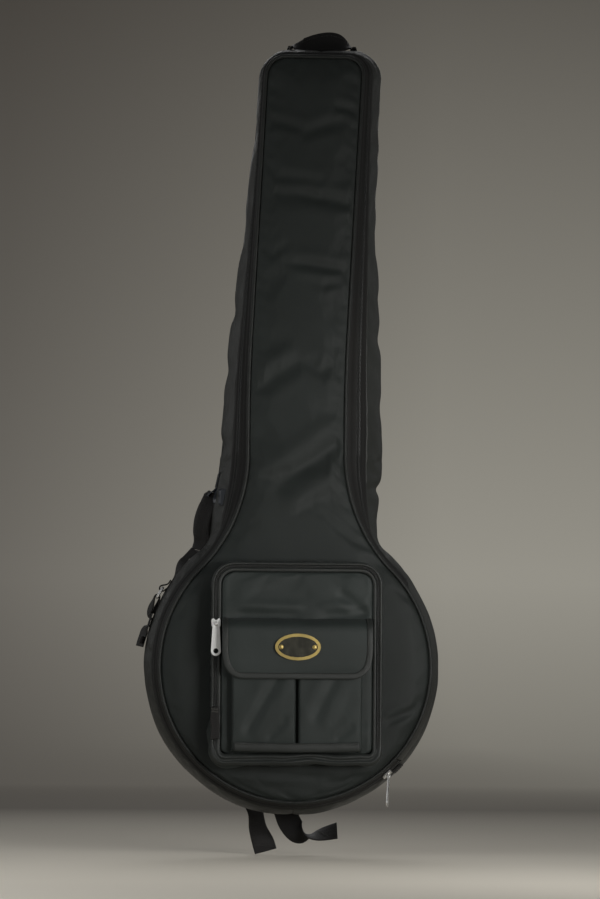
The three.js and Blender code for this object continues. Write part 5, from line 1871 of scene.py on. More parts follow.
@dataclass(frozen=True)
class SideHandle:
    """The carrying handle on the left gusset: a padded grip between two sewn lengths of webbing."""

    upper_end: Triple = (-0.115845, 0.012, 0.423846)
    lower_end: Triple = (-0.133313, 0.012, 0.353374)
    outward: Triple = (-0.971, 0.0, 0.241)
    depth: float = 0.012
    width: float = 0.025
    thickness: float = 0.002
    arch: float = 0.008
    grip_width: float = 0.030
    grip_thickness: float = 0.013
    turn: float = 50.0
    sink: float = 0.0096
    reach: float = 0.009
    low_turn: float = 38.0
    low_sink: float = 0.0035
    patch_low: float = 0.4105
    patch_high: float = 0.4335
    patch_front: float = -0.026
    patch_back: float = 0.016
    upper_sewn: Pair = (0.457, 0.4343)
    lower_sewn: Pair = (0.3357, 0.311)
    upper_box: Pair = (0.4545, 0.4375)
    lower_box: Pair = (0.334, 0.316)
    tack_z: float = 0.3375

    def ends(self) -> tuple[Vector, Vector, Vector]:
        """The grip's upper and lower end and the direction away from the gusset."""
        out = Vector(self.outward).normalized()
        return Vector(self.upper_end), Vector(self.lower_end) - out * self.low_sink, out

    def station(self, u: float, top: Vector, low: Vector, out: Vector) -> tuple[Vector, Vector, Vector, float]:
        """One place along the grip.

        Args:
            u: the share of its length.
            top: its upper end.
            low: its lower end.
            out: the direction away from the gusset.

        Returns:
            Its middle, the directions of its width and its face, and how full it is.
        """
        full = smooth(min(u / 0.1, (1 - u) / 0.16))
        centre = top.lerp(low, u) + out * (self.arch * math.sin(math.pi * u) - self.sink * full)
        turn = math.radians(lerp(self.turn, self.low_turn, smooth((u - 0.75) / 0.25)) * smooth(u / 0.08))
        return (centre, ACROSS * math.cos(turn) + out * math.sin(turn),
                out * math.cos(turn) - ACROSS * math.sin(turn), full)

    def grip(self) -> None:
        """The padded grip, stuffed by simulation."""
        top, low, out = self.ends()
        top -= (low - top).normalized() * self.reach
        work = Work()

        def place(u: float, v: float) -> Vector:
            """A point of the grip's cover."""
            centre, side, face, full = self.station(u, top, low, out)
            half_thick = lerp(self.thickness, self.grip_thickness * 0.88, full) / 2
            half_wide = lerp(self.width * 0.8, self.grip_width, full) / 2
            a, b = rounded_section(2 * math.pi * v, half_wide, half_thick, 0.62)
            pucker = 1 - 0.10 * full * math.exp(-((abs(a) - half_wide * 0.72) / 0.0016) ** 2)
            return centre + side * a + face * (b * pucker)

        work.grid((44, 36), ((low - top).length, 0.075), place)
        work.turn_weave()
        work.close()
        obj = work.finish("side_handle_grip", WEBBING, Body.SIDE_HANDLE, ["side_handle"])
        held = [v.index for v in obj.data.vertices if min((v.co - top).length, (v.co - low).length) < 0.016]
        settle(obj, held, 3.0, 0.01, 0.0008)
        rounded(obj)
        for label, sign in (("front", -1), ("back", 1)):
            line = []
            for i in range(5, 40):
                centre, side, face, _ = self.station(i / 44, top, low, out)
                line.append(centre + side * (sign * 0.0098) + face * 0.0052)
            stitches(f"side_handle_stitches_{label}", line, out, Body.SIDE_HANDLE, 0.0034)

    def tabs(self) -> None:
        """The two sewn lengths of webbing that hold the grip."""
        top, low, _ = self.ends()
        axis = (low - top).normalized()
        upper = [*sewn_line(*self.upper_sewn, self.depth, 0.0013, 6), top - axis * 0.0033, top - axis * 0.0003]
        lower = [low + axis * 0.0003, low + axis * 0.0033, *sewn_line(*self.lower_sewn, self.depth, 0.0013, 8)]
        for label, line, lifted, finish in (("upper", upper, 0.0, PATCH), ("lower", lower, self.low_turn, WEBBING)):
            fine = through(line, 3)
            turns = []
            for i, point in enumerate(fine):
                run = i / (len(fine) - 1)
                share = smooth((1 - run) * 1.3) * math.radians(lifted)
                away = KEYHOLE.outward(KEYHOLE.left_place(point.z, self.depth), self.depth)
                turns.append(ACROSS * math.cos(share) + away * math.sin(share))
                point += away * (0.0036 * math.sin(math.pi * run) * share / math.radians(self.low_turn))
            band(f"handle_webbing_{label}", fine, turns, self.width, self.thickness, Body.SHELL,
                 [f"handle_tab_{label}"], finish)
        for label, (high, bottom) in (("upper", self.upper_box), ("lower", self.lower_box)):
            line = sewn_line(high, bottom, self.depth, 0.0025, 8)
            out = KEYHOLE.outward(KEYHOLE.left_place((high + bottom) / 2, self.depth), self.depth)
            box_stitches(f"handle_stitches_{label}", line, ACROSS, 0.019, out, Body.SHELL)
        spot = KEYHOLE.left_place(self.tack_z, self.depth)
        bar = KEYHOLE.skin(spot, self.depth, 0.0027)
        line = [bar + ACROSS * (-0.0105 + 0.021 * i / 12) for i in range(13)]
        tack("handle_bar_tack", line, KEYHOLE.outward(spot, self.depth), PALE_THREAD, Body.SHELL)

    def patch(self) -> None:
        """The shiny folded reinforcement where the handle is sewn to the gusset."""

        def place(u: float, v: float) -> Vector:
            """A point of the patch's face."""
            z, y = lerp(self.patch_high, self.patch_low, u), lerp(self.patch_front, self.patch_back, v)
            fold = 0.0012 * math.sin(v * 9.0 + u * 2.0) + 0.0009 * wrinkle(Vector((0.0, y, z)), 0.008, 3.0)
            edge = min(1.0, min(u, 1 - u, v, 1 - v) * 9)
            out = 0.0004 + (0.0018 + fold) * edge - Shell.fold(z, Shell.folds_left)
            return KEYHOLE.skin(KEYHOLE.left_place(z + 0.004 * v, y), y, out)

        span = (self.patch_high - self.patch_low, self.patch_back - self.patch_front)
        obj = cloth("handle_patch_cloth", PATCH, Body.SHELL, [], (16, 26), span, place, from_middle, 0.0012)

    def build(self) -> None:
        """Makes the handle's pieces."""
        self.grip()
        self.tabs()
        self.patch()


def tack(name: str, line: Sequence[Vector], out: Vector, finish: ClothFinish, body: Body) -> None:
    """A dense bar of thread across webbing.

    Args:
        name: the piece's name.
        line: the bar's line.
        out: the direction away from the webbing.
        finish: the thread's finish.
        body: the body that it rides on.
    """
    work = Work()
    stops = through(line, 2)
    across = out.cross(stops[-1] - stops[0]).normalized()
    strap(work, stops, [across] * len(stops), 0.0022, 0.0012, 12, 0.8)
    for vert in work.bm.verts:
        vert[work.weave] = Vector((vert[work.weave].y * 0.5, 0.0, 0.0))
    work.close()
    work.finish(name, finish, body)


@dataclass(frozen=True)
class StrapDrop:
    """The ring on its webbing tab, and the short strap that hangs from the ring."""

    width: float = 0.025
    tab_width: float = 0.023
    ring_at: Triple = (-0.175475, 0.012, 0.300558)
    ring_down: Triple = (-0.508, 0.0, -0.861)
    ring_out: Triple = (-0.861, 0.0, 0.508)
    strap_top: Triple = (-0.18259, 0.012, 0.288501)
    strap_down: Triple = (-0.292, 0.0, -0.956)
    strap_in: Triple = (0.956, 0.0, -0.292)
    loose_turn: float = 13.0
    keeper_at: float = 0.061

    def tab(self) -> None:
        """The folded webbing that holds the ring."""
        at, down, out = Vector(self.ring_at), Vector(self.ring_down).normalized(), Vector(self.ring_out).normalized()
        reach = 0.004
        base = 0.0003 + 0.001 - 0.007
        flat = [(-0.0148, base), (-0.010, base), (-0.004, base + 0.0002), (0.0, -reach), (0.0026, -0.0030),
                (reach, 0.0), (0.0028, 0.0028), (0.0, reach), (-0.0028, 0.0026), (-0.0075, base + 0.0032),
                (-0.011, base + 0.0021), (-0.0148, base + 0.0020)]
        line = through([at + down * a + out * b for a, b in flat], 4)
        band("ring_webbing", line, [ACROSS] * len(line), self.tab_width, 0.0018, Body.SHELL, ["ring_tab"])

    def hung(self) -> tuple[Vector, Vector, Vector]:
        """The strap's upper end, and the directions down along it and in towards the bag."""
        return Vector(self.strap_top), Vector(self.strap_down), Vector(self.strap_in)

    def drop(self) -> None:
        """The strap: from its end up through the slide, round the ring and down to the slide."""
        top, down, inward = self.hung()
        down.normalize()
        inward.normalize()
        wrap, rise = 0.0033, 0.0026
        upper, lower, cross = 0.029, 0.041, 0.0015
        flat = [(0.070, -rise), (0.062, -rise - 0.0002), (0.052, -rise), (lower + cross, -rise),
                (lower - cross, rise), (0.035, rise + 0.0002), (upper + cross, rise), (upper - cross, -rise),
                (0.018, -rise - 0.0014), (rise + wrap, -rise - 0.0008), (0.0, -wrap), (-0.7 * wrap, -0.7 * wrap),
                (-wrap, 0.0), (-0.7 * wrap, 0.7 * wrap), (0.0, wrap), (0.010, rise + 0.0010),
                (upper - 0.0064, rise)]
        line = through([top + down * a + inward * b for a, b in flat], 4)
        turns = []
        for point in line:
            run = (point - top).dot(down)
            loose = smooth(min(abs(run - 0.035), abs(run + 0.001)) / 0.016)
            turn = math.radians(self.loose_turn) * loose * (1.0 if run < 0.035 else 1.6)
            turns.append(ACROSS * math.cos(turn) - inward * math.sin(turn))
        band("strap_drop_webbing", line, turns, self.width, 0.0023, Body.STRAP_DROP, ["strap_webbing"])

    def keeper(self) -> None:
        """The small loop of webbing round the strap's end."""
        top, down, inward = self.hung()
        middle = top + down * self.keeper_at - inward * 0.0026
        section = [rounded_section(2 * math.pi * i / 32, 0.0136, 0.0021, 0.3) for i in range(33)]
        stops = [middle + ACROSS * a + inward * b for a, b in section]
        band("strap_keeper_loop", stops, [down] * len(stops), 0.0098, 0.0015, Body.STRAP_DROP, ["strap_keeper"],
             around=14)

    def build(self) -> None:
        """Makes the strap's pieces."""
        self.tab()
        self.drop()
        self.keeper()


@dataclass(frozen=True)
class HaulHandle:
    """The webbing loop over the neck's end."""

    depth: float = 0.012
    width: float = 0.025
    peak_share: float = 0.64
    rise: float = 0.022
    tilt: float = 76.0
    sag: float = 0.0135
    folded: float = 0.0045
    left: Pair = (-0.00935, 1.03514)
    right: Pair = (0.07682, 1.03514)
    foot_reach: float = 0.0431
    foot_length: float = 0.012

    def loop(self) -> None:
        """The doubled webbing of the loop."""
        a, b = Vector((self.left[0], self.depth, self.left[1])), Vector((self.right[0], self.depth, self.right[1]))
        stops = [a, a + Vector((0.002, 0.0, 0.0))]
        for i in range(1, 24):
            share = i / 24
            warped = share ** (math.log(0.5) / math.log(self.peak_share))
            fullness = 0.5 if share < self.peak_share else 1.2
            stops.append(a.lerp(b, share) + Vector((0.0, 0.0, self.rise * math.sin(math.pi * warped) ** fullness)))
        stops += [b - Vector((0.002, 0.0, 0.0)), b]
        line = through(stops, 2)
        across = []
        for i, point in enumerate(line):
            share = i / (len(line) - 1)
            turn = math.radians(self.tilt) * smooth(min(share, 1 - share) / 0.3)
            across.append(Vector((0.0, math.cos(turn), math.sin(turn))))
            point.z -= self.sag * smooth(min(share, 1 - share) / 0.3)
        band("haul_handle_webbing", line, across, self.width + self.folded, 0.0034, Body.HAUL_HANDLE,
             ["haul_handle"], WEBBING, 24, 0.4)
        for label, side in (("front", -1), ("back", 1)):
            for face, sign in (("upper", 1), ("lower", -1)):
                seam = []
                for i in range(6, len(line) - 6):
                    along = (line[i + 1] - line[i - 1]).normalized()
                    width = (across[i] - along * along.dot(across[i])).normalized()
                    out = width.cross(along) * sign
                    seam.append(line[i] + width * (side * 0.0092) - out * 0.0018)
                stitches(f"haul_handle_stitches_{label}_{face}", seam, UP, Body.HAUL_HANDLE, 0.0034)

    def foot(self, label: str, end: Pair, side: float) -> None:
        """One sewn foot of the loop.

        Args:
            label: left or right.
            end: the loop's end beside it, as X and Z.
            side: -1 for the left one and 1 for the right one.
        """
        middle = (self.left[0] + self.right[0]) / 2
        places = [28 + 8 * i / 400 for i in range(401)]
        stops = []
        for share in (1.0, 2 / 3, 1 / 3):
            x = middle + side * (self.foot_reach + self.foot_length * share)
            place = min(places, key=lambda at: abs(KEYHOLE.skin(at, self.depth, 0.0013).x - x))
            stops.append(KEYHOLE.skin(place, self.depth, 0.0013))
        stops += [Vector((end[0] + side * gap, self.depth, end[1])) for gap in (0.0023, 0.0003)]
        line = through(stops, 3)
        band(f"haul_foot_{label}_webbing", line, [ACROSS] * len(line), self.width, 0.0019, Body.SHELL,
             [f"haul_foot_{label}"])

    def build(self) -> None:
        """Makes the loop and its feet."""
        self.loop()
        self.foot("left", self.left, -1.0)
        self.foot("right", self.right, 1.0)


# Shoulder straps


@dataclass(frozen=True)
class ShoulderStraps:
    """The yoke, pads and webbing on the back, with two long free ends that hang below the bag."""

    yoke_shape: RoundedBox = RoundedBox(-0.075, 0.075, 0.329, 0.375, 0.012, 0.020)
    yoke_y: float = 0.0593
    yoke_rise: float = 0.0036
    yoke_stitch_y: float = 0.0632
    pad_x: float = 0.036
    pad_top: float = 0.3287
    pad_low: float = 0.135
    pad_wide: float = 0.062
    pad_narrow: float = 0.042
    pad_edge: float = 0.006
    pad_thickness: float = 0.012
    strap_width: float = 0.032
    lock_y: float = 0.0659
    lock_face: float = 0.0692
    lock_x: float = -0.041
    lock_low: float = 0.1097
    spread: float = 0.027
    slot_y: float = 0.0679
    slot_z: float = 0.1257
    anchor_x: float = 0.066
    anchor_y: float = 0.0603
    anchor_z: float = 0.037
    anchor_length: float = 0.034
    anchor_stitch_y: float = 0.0637
    webbing_y: float = 0.0626
    left_stops: tuple[Triple, ...] = (
        (-0.064, 0.004, 0.060), (-0.054, 0.005, 0.025), (-0.0455, 0.006, 0.0), (-0.042, 0.007, -0.022),
        (-0.0345, 0.006, -0.042), (-0.0310, 0.004, -0.0535))
    left_turns: tuple[Triple, ...] = (
        (1, 0.1, 0), (1, 0.5, 0), (0.7, 0.75, 0), (0.8, 0.6, 0), (1, 0.2, -0.1), (1, 0.1, -0.25))
    right_stops: tuple[Triple, ...] = (
        (-0.015, 0.004, 0.060), (-0.012, 0.006, 0.025), (-0.005, 0.006, 0.002), (0.002, 0.002, -0.016),
        (0.014, -0.006, -0.028), (0.037, -0.016, -0.030), (0.064, -0.022, -0.024))
    right_turns: tuple[Triple, ...] = (
        (1, 0, 0), (1, 0, 0.1), (1, 0, 0.3), (1, -0.2, 0.5), (0.9, -0.6, 0.2), (0.6, -0.8, -0.2),
        (0.62, -0.7, -0.35))

    def yoke(self) -> None:
        """The stitched patch that the straps grow from."""
        shape = self.yoke_shape
        work = Work()

        def place(u: float, v: float) -> Vector:
            """A point of the yoke's face."""
            z = lerp(shape.bottom, shape.top, v)
            x = lerp(-1, 1, u) * shape.half_width(z)
            edge = min(z - shape.bottom, shape.top - z, shape.half_width(z) - abs(x))
            rise = self.yoke_rise * min(1.0, (max(edge, 0.0) / 0.004)) ** 0.6
            rise += 0.0002 * wrinkle(Vector((x, 0.0, z)), 0.02, 3.0)
            return Vector((x, self.yoke_y + 0.0002 + rise, z))

        work.grid((50, 20), None, place)
        obj = work.finish("yoke_cloth", GUSSET_CLOTH, Body.SHELL, ["strap_yoke"], turned=False, away=backwards)
        wall(obj, 0.0002)
        outline = [shape.at(i / 160, 0.004)[0] for i in range(161)]
        stitches("yoke_stitches", [Vector((p.x, self.yoke_stitch_y, p.y)) for p in outline], ACROSS, Body.SHELL)

    def pad(self, side: float, label: str, body: Body) -> None:
        """One padded strap, stuffed by simulation.

        Args:
            side: -1 for the left one and 1 for the right one.
            label: left or right.
            body: the body that it rides on.
        """
        work = Work()

        def middle(share: float) -> tuple[Vector, float, float]:
            """The pad's middle, half width and half thickness at a share of its length."""
            x = lerp(side * self.pad_x, self.lock_x + side * self.spread, smooth(share))
            z = lerp(self.pad_top, self.pad_low, share)
            ease = min(1.0, 0.35 + min(share, 1 - share) / 0.08)
            width = lerp(self.pad_wide, self.pad_narrow, smooth(share)) * min(1.0, ease + 0.35)
            resting = self.yoke_y + self.pad_thickness / 2 * ease
            return Vector((x, max(resting, lerp(self.yoke_y, self.lock_y, share)), z)), width / 2, ease * 0.0053

        def place(u: float, v: float) -> Vector:
            """A point of the pad's cover."""
            centre, half_wide, half_thick = middle(u)
            a, b = rounded_section(2 * math.pi * v, half_wide, half_thick, 0.7)
            groove = 1 - 0.35 * math.exp(-((abs(a) - (half_wide - self.pad_edge)) / 0.0016) ** 2)
            soft = 0.0004 * wrinkle(centre + Vector((a, 0, 0)), 0.02, 5.0)
            return centre + Vector((a, b * groove + soft, 0.0))

        work.grid((64, 40), None, place)
        work.close()
        obj = work.finish(f"shoulder_pad_{label}_cloth", LID_CLOTH, body, [f"shoulder_pad_{label}"])
        held = [v.index for v in obj.data.vertices if v.co.z > 0.322 or v.co.z < 0.141]
        settle(obj, held, 1.5, 0.012, 0.0006)
        rounded(obj)
        for edge in (-1, 1):
            line = []
            for i in range(4, 61):
                centre, half_wide, half_thick = middle(i / 64)
                line.append(centre + Vector((edge * (half_wide - self.pad_edge), half_thick * 0.66, 0.0)))
            stitches(f"shoulder_pad_{label}_stitches_{'outer' if edge * side > 0 else 'inner'}", line, ACROSS, body)

    def _curve(self, side: float, share: float) -> Vector:
        """The lower webbing's line in the plane of X and Z.

        Args:
            side: -1 for the left one and 1 for the right one.
            share: the share of the way along.

        Returns:
            The point as X and Z.
        """
        anchor = Vector((side * self.anchor_x, self.anchor_z))
        lock = Vector((self.lock_x + side * self.spread, self.lock_low))
        bend = Vector((lerp(anchor.x, lock.x, 0.8), lerp(anchor.y, lock.y, 0.45)))
        return anchor * (1 - share) ** 2 + bend * (2 * share * (1 - share)) + lock * share ** 2

    def lower(self, side: float, label: str, body: Body) -> None:
        """The sewn patch low on the back and the webbing that rises from it to the ladder lock.

        Args:
            side: -1 for the left one and 1 for the right one.
            label: left or right.
            body: the body that the lock rides on; not used.
        """
        curve_length = sum((self._curve(side, (i + 1) / 50) - self._curve(side, i / 50)).length for i in range(50))
        patch = self.anchor_length / curve_length
        for name, first, last, y, width, node, rides in (
            (f"lower_anchor_{label}_webbing", 0.0, patch, self.anchor_y, self.strap_width, f"lower_anchor_{label}",
             Body.SHELL),
            (f"lower_webbing_{label}_strap", patch * 0.4, 1.0, self.webbing_y, self.strap_width - 0.0006,
             f"lower_webbing_{label}", None),
        ):
            stops, turns = [], []
            for i in range(31):
                share = lerp(first, last, i / 30)
                point = self._curve(side, share)
                ahead = self._curve(side, min(share + 0.01, 1.01)) - self._curve(side, share - 0.01)
                stops.append(Vector((point.x, y, point.y)))
                turns.append(Vector((ahead.y, 0.0, -ahead.x)).normalized())
            obj = band(name, stops, turns, width, 0.0019, rides, [node])
            if rides is None:
                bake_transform(obj)
        seam = [Vector((p.x, self.anchor_stitch_y, p.y)) for p in
                (self._curve(side, lerp(patch * 0.45, patch * 0.95, i / 8)) for i in range(9))]
        ahead = self._curve(side, patch) - self._curve(side, 0.0)
        box_stitches(f"lower_anchor_{label}_stitches", seam, Vector((ahead.y, 0.0, -ahead.x)), 0.024, ACROSS,
                     Body.SHELL)

    def tail(self, side: float, label: str, rows: Sequence[Sequence[float]], ways: Sequence[Sequence[float]],
             body: Body) -> None:
        """The webbing's free end: out of the lock, over its bars and down below the bag.

        Args:
            side: -1 for the left one and 1 for the right one.
            label: left or right.
            rows: the stops below the lock, from the lock's face.
            ways: the direction of the webbing's width at each.
            body: the body that it rides on.
        """
        x = self.lock_x + side * self.spread
        turn = 0.0015
        stops = [Vector((x, self.lock_y, self.slot_z + turn / 3)), Vector((x, self.slot_y + turn, self.slot_z)),
                 Vector((x, self.lock_face, self.slot_z - 0.005))]
        stops += [Vector((a, self.lock_face + b, c)) for a, b, c in rows]
        turns = [Vector((1, 0, 0))] * 3 + [Vector(w).normalized() for w in ways]
        fine, fine_turns = through(stops, 10), through(turns, 10)
        band(f"strap_tail_{label}_webbing", fine, fine_turns, self.strap_width - 0.0006, 0.0018, body,
             [f"strap_tail_{label}"])
        across = fine_turns[-7].normalized()
        out = (fine[-1] - fine[-8]).normalized().cross(fine_turns[-7]).normalized()
        for sign, face in ((1, "front"), (-1, "back")):
            spot = fine[-8] + out * (0.0011 * sign)
            line = [spot + across * (-0.0135 + 0.027 * i / 10) for i in range(11)]
            stitches(f"strap_tail_{label}_hem_{face}", line, out * sign, body, 0.003)

    def build(self) -> None:
        """Makes the straps' pieces."""
        self.yoke()
        for side, label, body, tail_body, rows, ways in (
            (-1.0, "left", Body.SHOULDER_LEFT, Body.TAIL_LEFT, self.left_stops, self.left_turns),
            (1.0, "right", Body.SHOULDER_RIGHT, Body.TAIL_RIGHT, self.right_stops, self.right_turns),
        ):
            self.pad(side, label, body)
            self.lower(side, label, body)
            self.tail(side, label, rows, ways, tail_body)


# Inside


@dataclass(frozen=True)
class Inside:
    """The linings, the lid's rim, and the foam cradle with its strap."""

    rim_front: float = -0.0507
    rim_back: float = -0.04185
    cradle_half: float = 0.075
    channel_half: float = 0.031
    channel_depth: float = 0.034
    lid_lining_y: float = -0.0489
    lid_lining_inset: float = 0.0104
    back_lining_y: float = 0.0469
    back_lining_inset: float = 0.0083

    def lining(self, name: str, node: str, y: float, facing: float, inset: float, body: Body) -> None:
        """One flat lining.

        Args:
            name: the piece's name.
            node: the CAD node that it stands for.
            y: its face's depth.
            facing: 1 where it faces +Y and -1 where it faces -Y.
            inset: how far inside the outline it ends.
            body: the body that it rides on.
        """
        obj = keyhole_panel(name, PLUSH, body, [node], y, facing, inset, 0.0, 0.0002, (), 0.012, 32)
        wall(obj, 0.0016, 1)

    def rim(self, name: str, node: str, first: float, last: float) -> None:
        """One half of the lid's soft rim.

        Args:
            name: the piece's name.
            node: the CAD node that it stands for.
            first: the place where it begins.
            last: the place where it ends.
        """

        def place(u: float, v: float) -> Vector:
            """A point of the rim's outer face."""
            at = fine_place(first, last, u, 0.01)
            y = lerp(self.rim_front, self.rim_back, v)
            return KEYHOLE.skin(at, y, -0.0018 - 0.0003 * wrinkle(KEYHOLE.skin(at, y), 0.02, 2.0))

        obj = cloth(name, GUSSET_CLOTH, Body.LID, [node], (200, 4),
                    (KEYHOLE.run(first, last), self.rim_back - self.rim_front), place, from_middle)
        wall(obj, 0.0076)

    def cradle(self) -> None:
        """The foam block with its channel, softened at its edges."""
        low, high = (Vector(corner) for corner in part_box("neck_cradle"))
        middle, half, channel = (low.x + high.x) / 2, self.cradle_half, self.channel_half
        floor = low.y + self.channel_depth
        plan = [(-half, high.y), (-half, low.y), (-channel, low.y), (-channel * 0.8, floor), (channel * 0.8, floor),
                (channel, low.y), (half, low.y), (half, high.y)]
        work = Work()
        corners = [work.bm.verts.new((middle + x, y, low.z)) for x, y in plan]
        base = work.bm.faces.new(corners)
        grown = bmesh.ops.extrude_face_region(work.bm, geom=[base])
        top = [item for item in grown["geom"] if isinstance(item, bmesh.types.BMVert)]
        bmesh.ops.translate(work.bm, verts=top, vec=(0.0, 0.0, high.z - low.z))
        bmesh.ops.recalc_face_normals(work.bm, faces=work.bm.faces[:])
        work.bevel(0.004, 4)
        bmesh.ops.triangulate(work.bm, faces=[f for f in work.bm.faces if len(f.verts) > 4])
        for vert in work.bm.verts:
            vert[work.weave] = Vector((vert.co.x, vert.co.z, 0.0))
        obj = work.finish("neck_cradle_foam", FOAM, Body.SHELL, ["neck_cradle"])
        for face in obj.data.polygons:
            face.use_smooth = False

    def strap(self) -> None:
        """The strap across the cradle."""
        low, high = (Vector(corner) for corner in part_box("neck_strap"))
        y = (low.y + high.y) / 2
        stops = [Vector((lerp(low.x, high.x, i / 24), y, (low.z + high.z) / 2)) for i in range(25)]
        band("neck_strap_webbing", stops, [UP] * len(stops), high.z - low.z, 0.0018, Body.NECK_STRAP, ["neck_strap"])

    def build(self) -> None:
        """Makes the inner pieces."""
        self.lining("lid_lining_plush", "lid_lining", self.lid_lining_y, 1.0, self.lid_lining_inset, Body.LID)
        self.lining("back_lining_plush", "back_lining", self.back_lining_y, -1.0, self.back_lining_inset, Body.SHELL)
        self.rim("lid_rim_right_cloth", "lid_rim_right", 0.0, NECK_END)
        self.rim("lid_rim_left_cloth", "lid_rim_left", NECK_END, ALL_ROUND)
        self.cradle()
        self.strap()


@dataclass(frozen=True)
class Hardware:
    """The metal and plastic pieces, and the ridged tab at the zip's end."""

    ridges: int = 5
    tab_length: float = 0.016
    tab_width: float = 0.034

    def end_tab(self) -> None:
        """The ridged tab over the zip's end."""
        place_at = KEYHOLE.hinge_first - 0.4
        half = self.tab_length / 2 / KEYHOLE.run(5, 6, 0.0)

        def place(u: float, v: float) -> Vector:
            """A point of the tab's face."""
            at = lerp(place_at - half, place_at + half, u)
            rise = 0.0018 + 0.0007 * (0.5 - 0.5 * math.cos(2 * math.pi * self.ridges * u))
            rise *= min(1.0, 0.55 + min(u, 1 - u, v, 1 - v) * 14)
            return KEYHOLE.skin(at, KEYHOLE.tape_end_y + 0.0003 + self.tab_width * v, 0.0003 + rise)

        cloth("zip_end_tab_cloth", ZIP_TAPE, Body.SHELL, ["zip_end_tab"], (60, 24),
              (self.tab_length, self.tab_width), place, from_middle, 0.0015, 0)

    def zip_stop(self) -> None:
        """The folded tape with its bar tacks at the zip's lower end, below the slider's lowest place."""
        stops = [Vector((lerp(-0.1078, -0.1065, i / 12) + 0.0007 * math.sin(i), -0.0946 - 0.0002 * math.sin(i * 0.9),
                         lerp(0.1435, 0.1005, i / 12))) for i in range(13)]
        fine = through(stops, 3)
        band("pocket_zip_end_tape", fine, [Vector((1.0, 0.0, 0.0))] * len(fine), 0.0115, 0.0009, Body.LID, [])
        line = [Vector((lerp(-0.1122, -0.1030, i / 6), -0.0952, 0.1400 + 0.0004 * math.sin(i))) for i in range(7)]
        tack("pocket_zip_bar_tack", line, FRONT, THREAD, Body.LID)
        tack("pocket_zip_lower_tack", [p - UP * 0.0032 for p in line], FRONT, THREAD, Body.LID)

    def build(self) -> None:
        """Dresses the hardware and makes the end tab."""
        for node, finish, edge in (
            ("pocket_slider", NICKEL, 0.0003), ("pocket_pull", NICKEL, 0.0003), ("main_slider", NICKEL, 0.0003),
            ("main_pull", NICKEL, 0.0003), ("strap_ring", NICKEL, 0.0), ("tri_glide", PLASTIC, 0.0004),
            ("ladder_lock_left", PLASTIC, 0.0006), ("ladder_lock_right", PLASTIC, 0.0006),
        ):
            dressed(node, finish, edge)
        self.end_tab()
        self.zip_stop()


# Studio


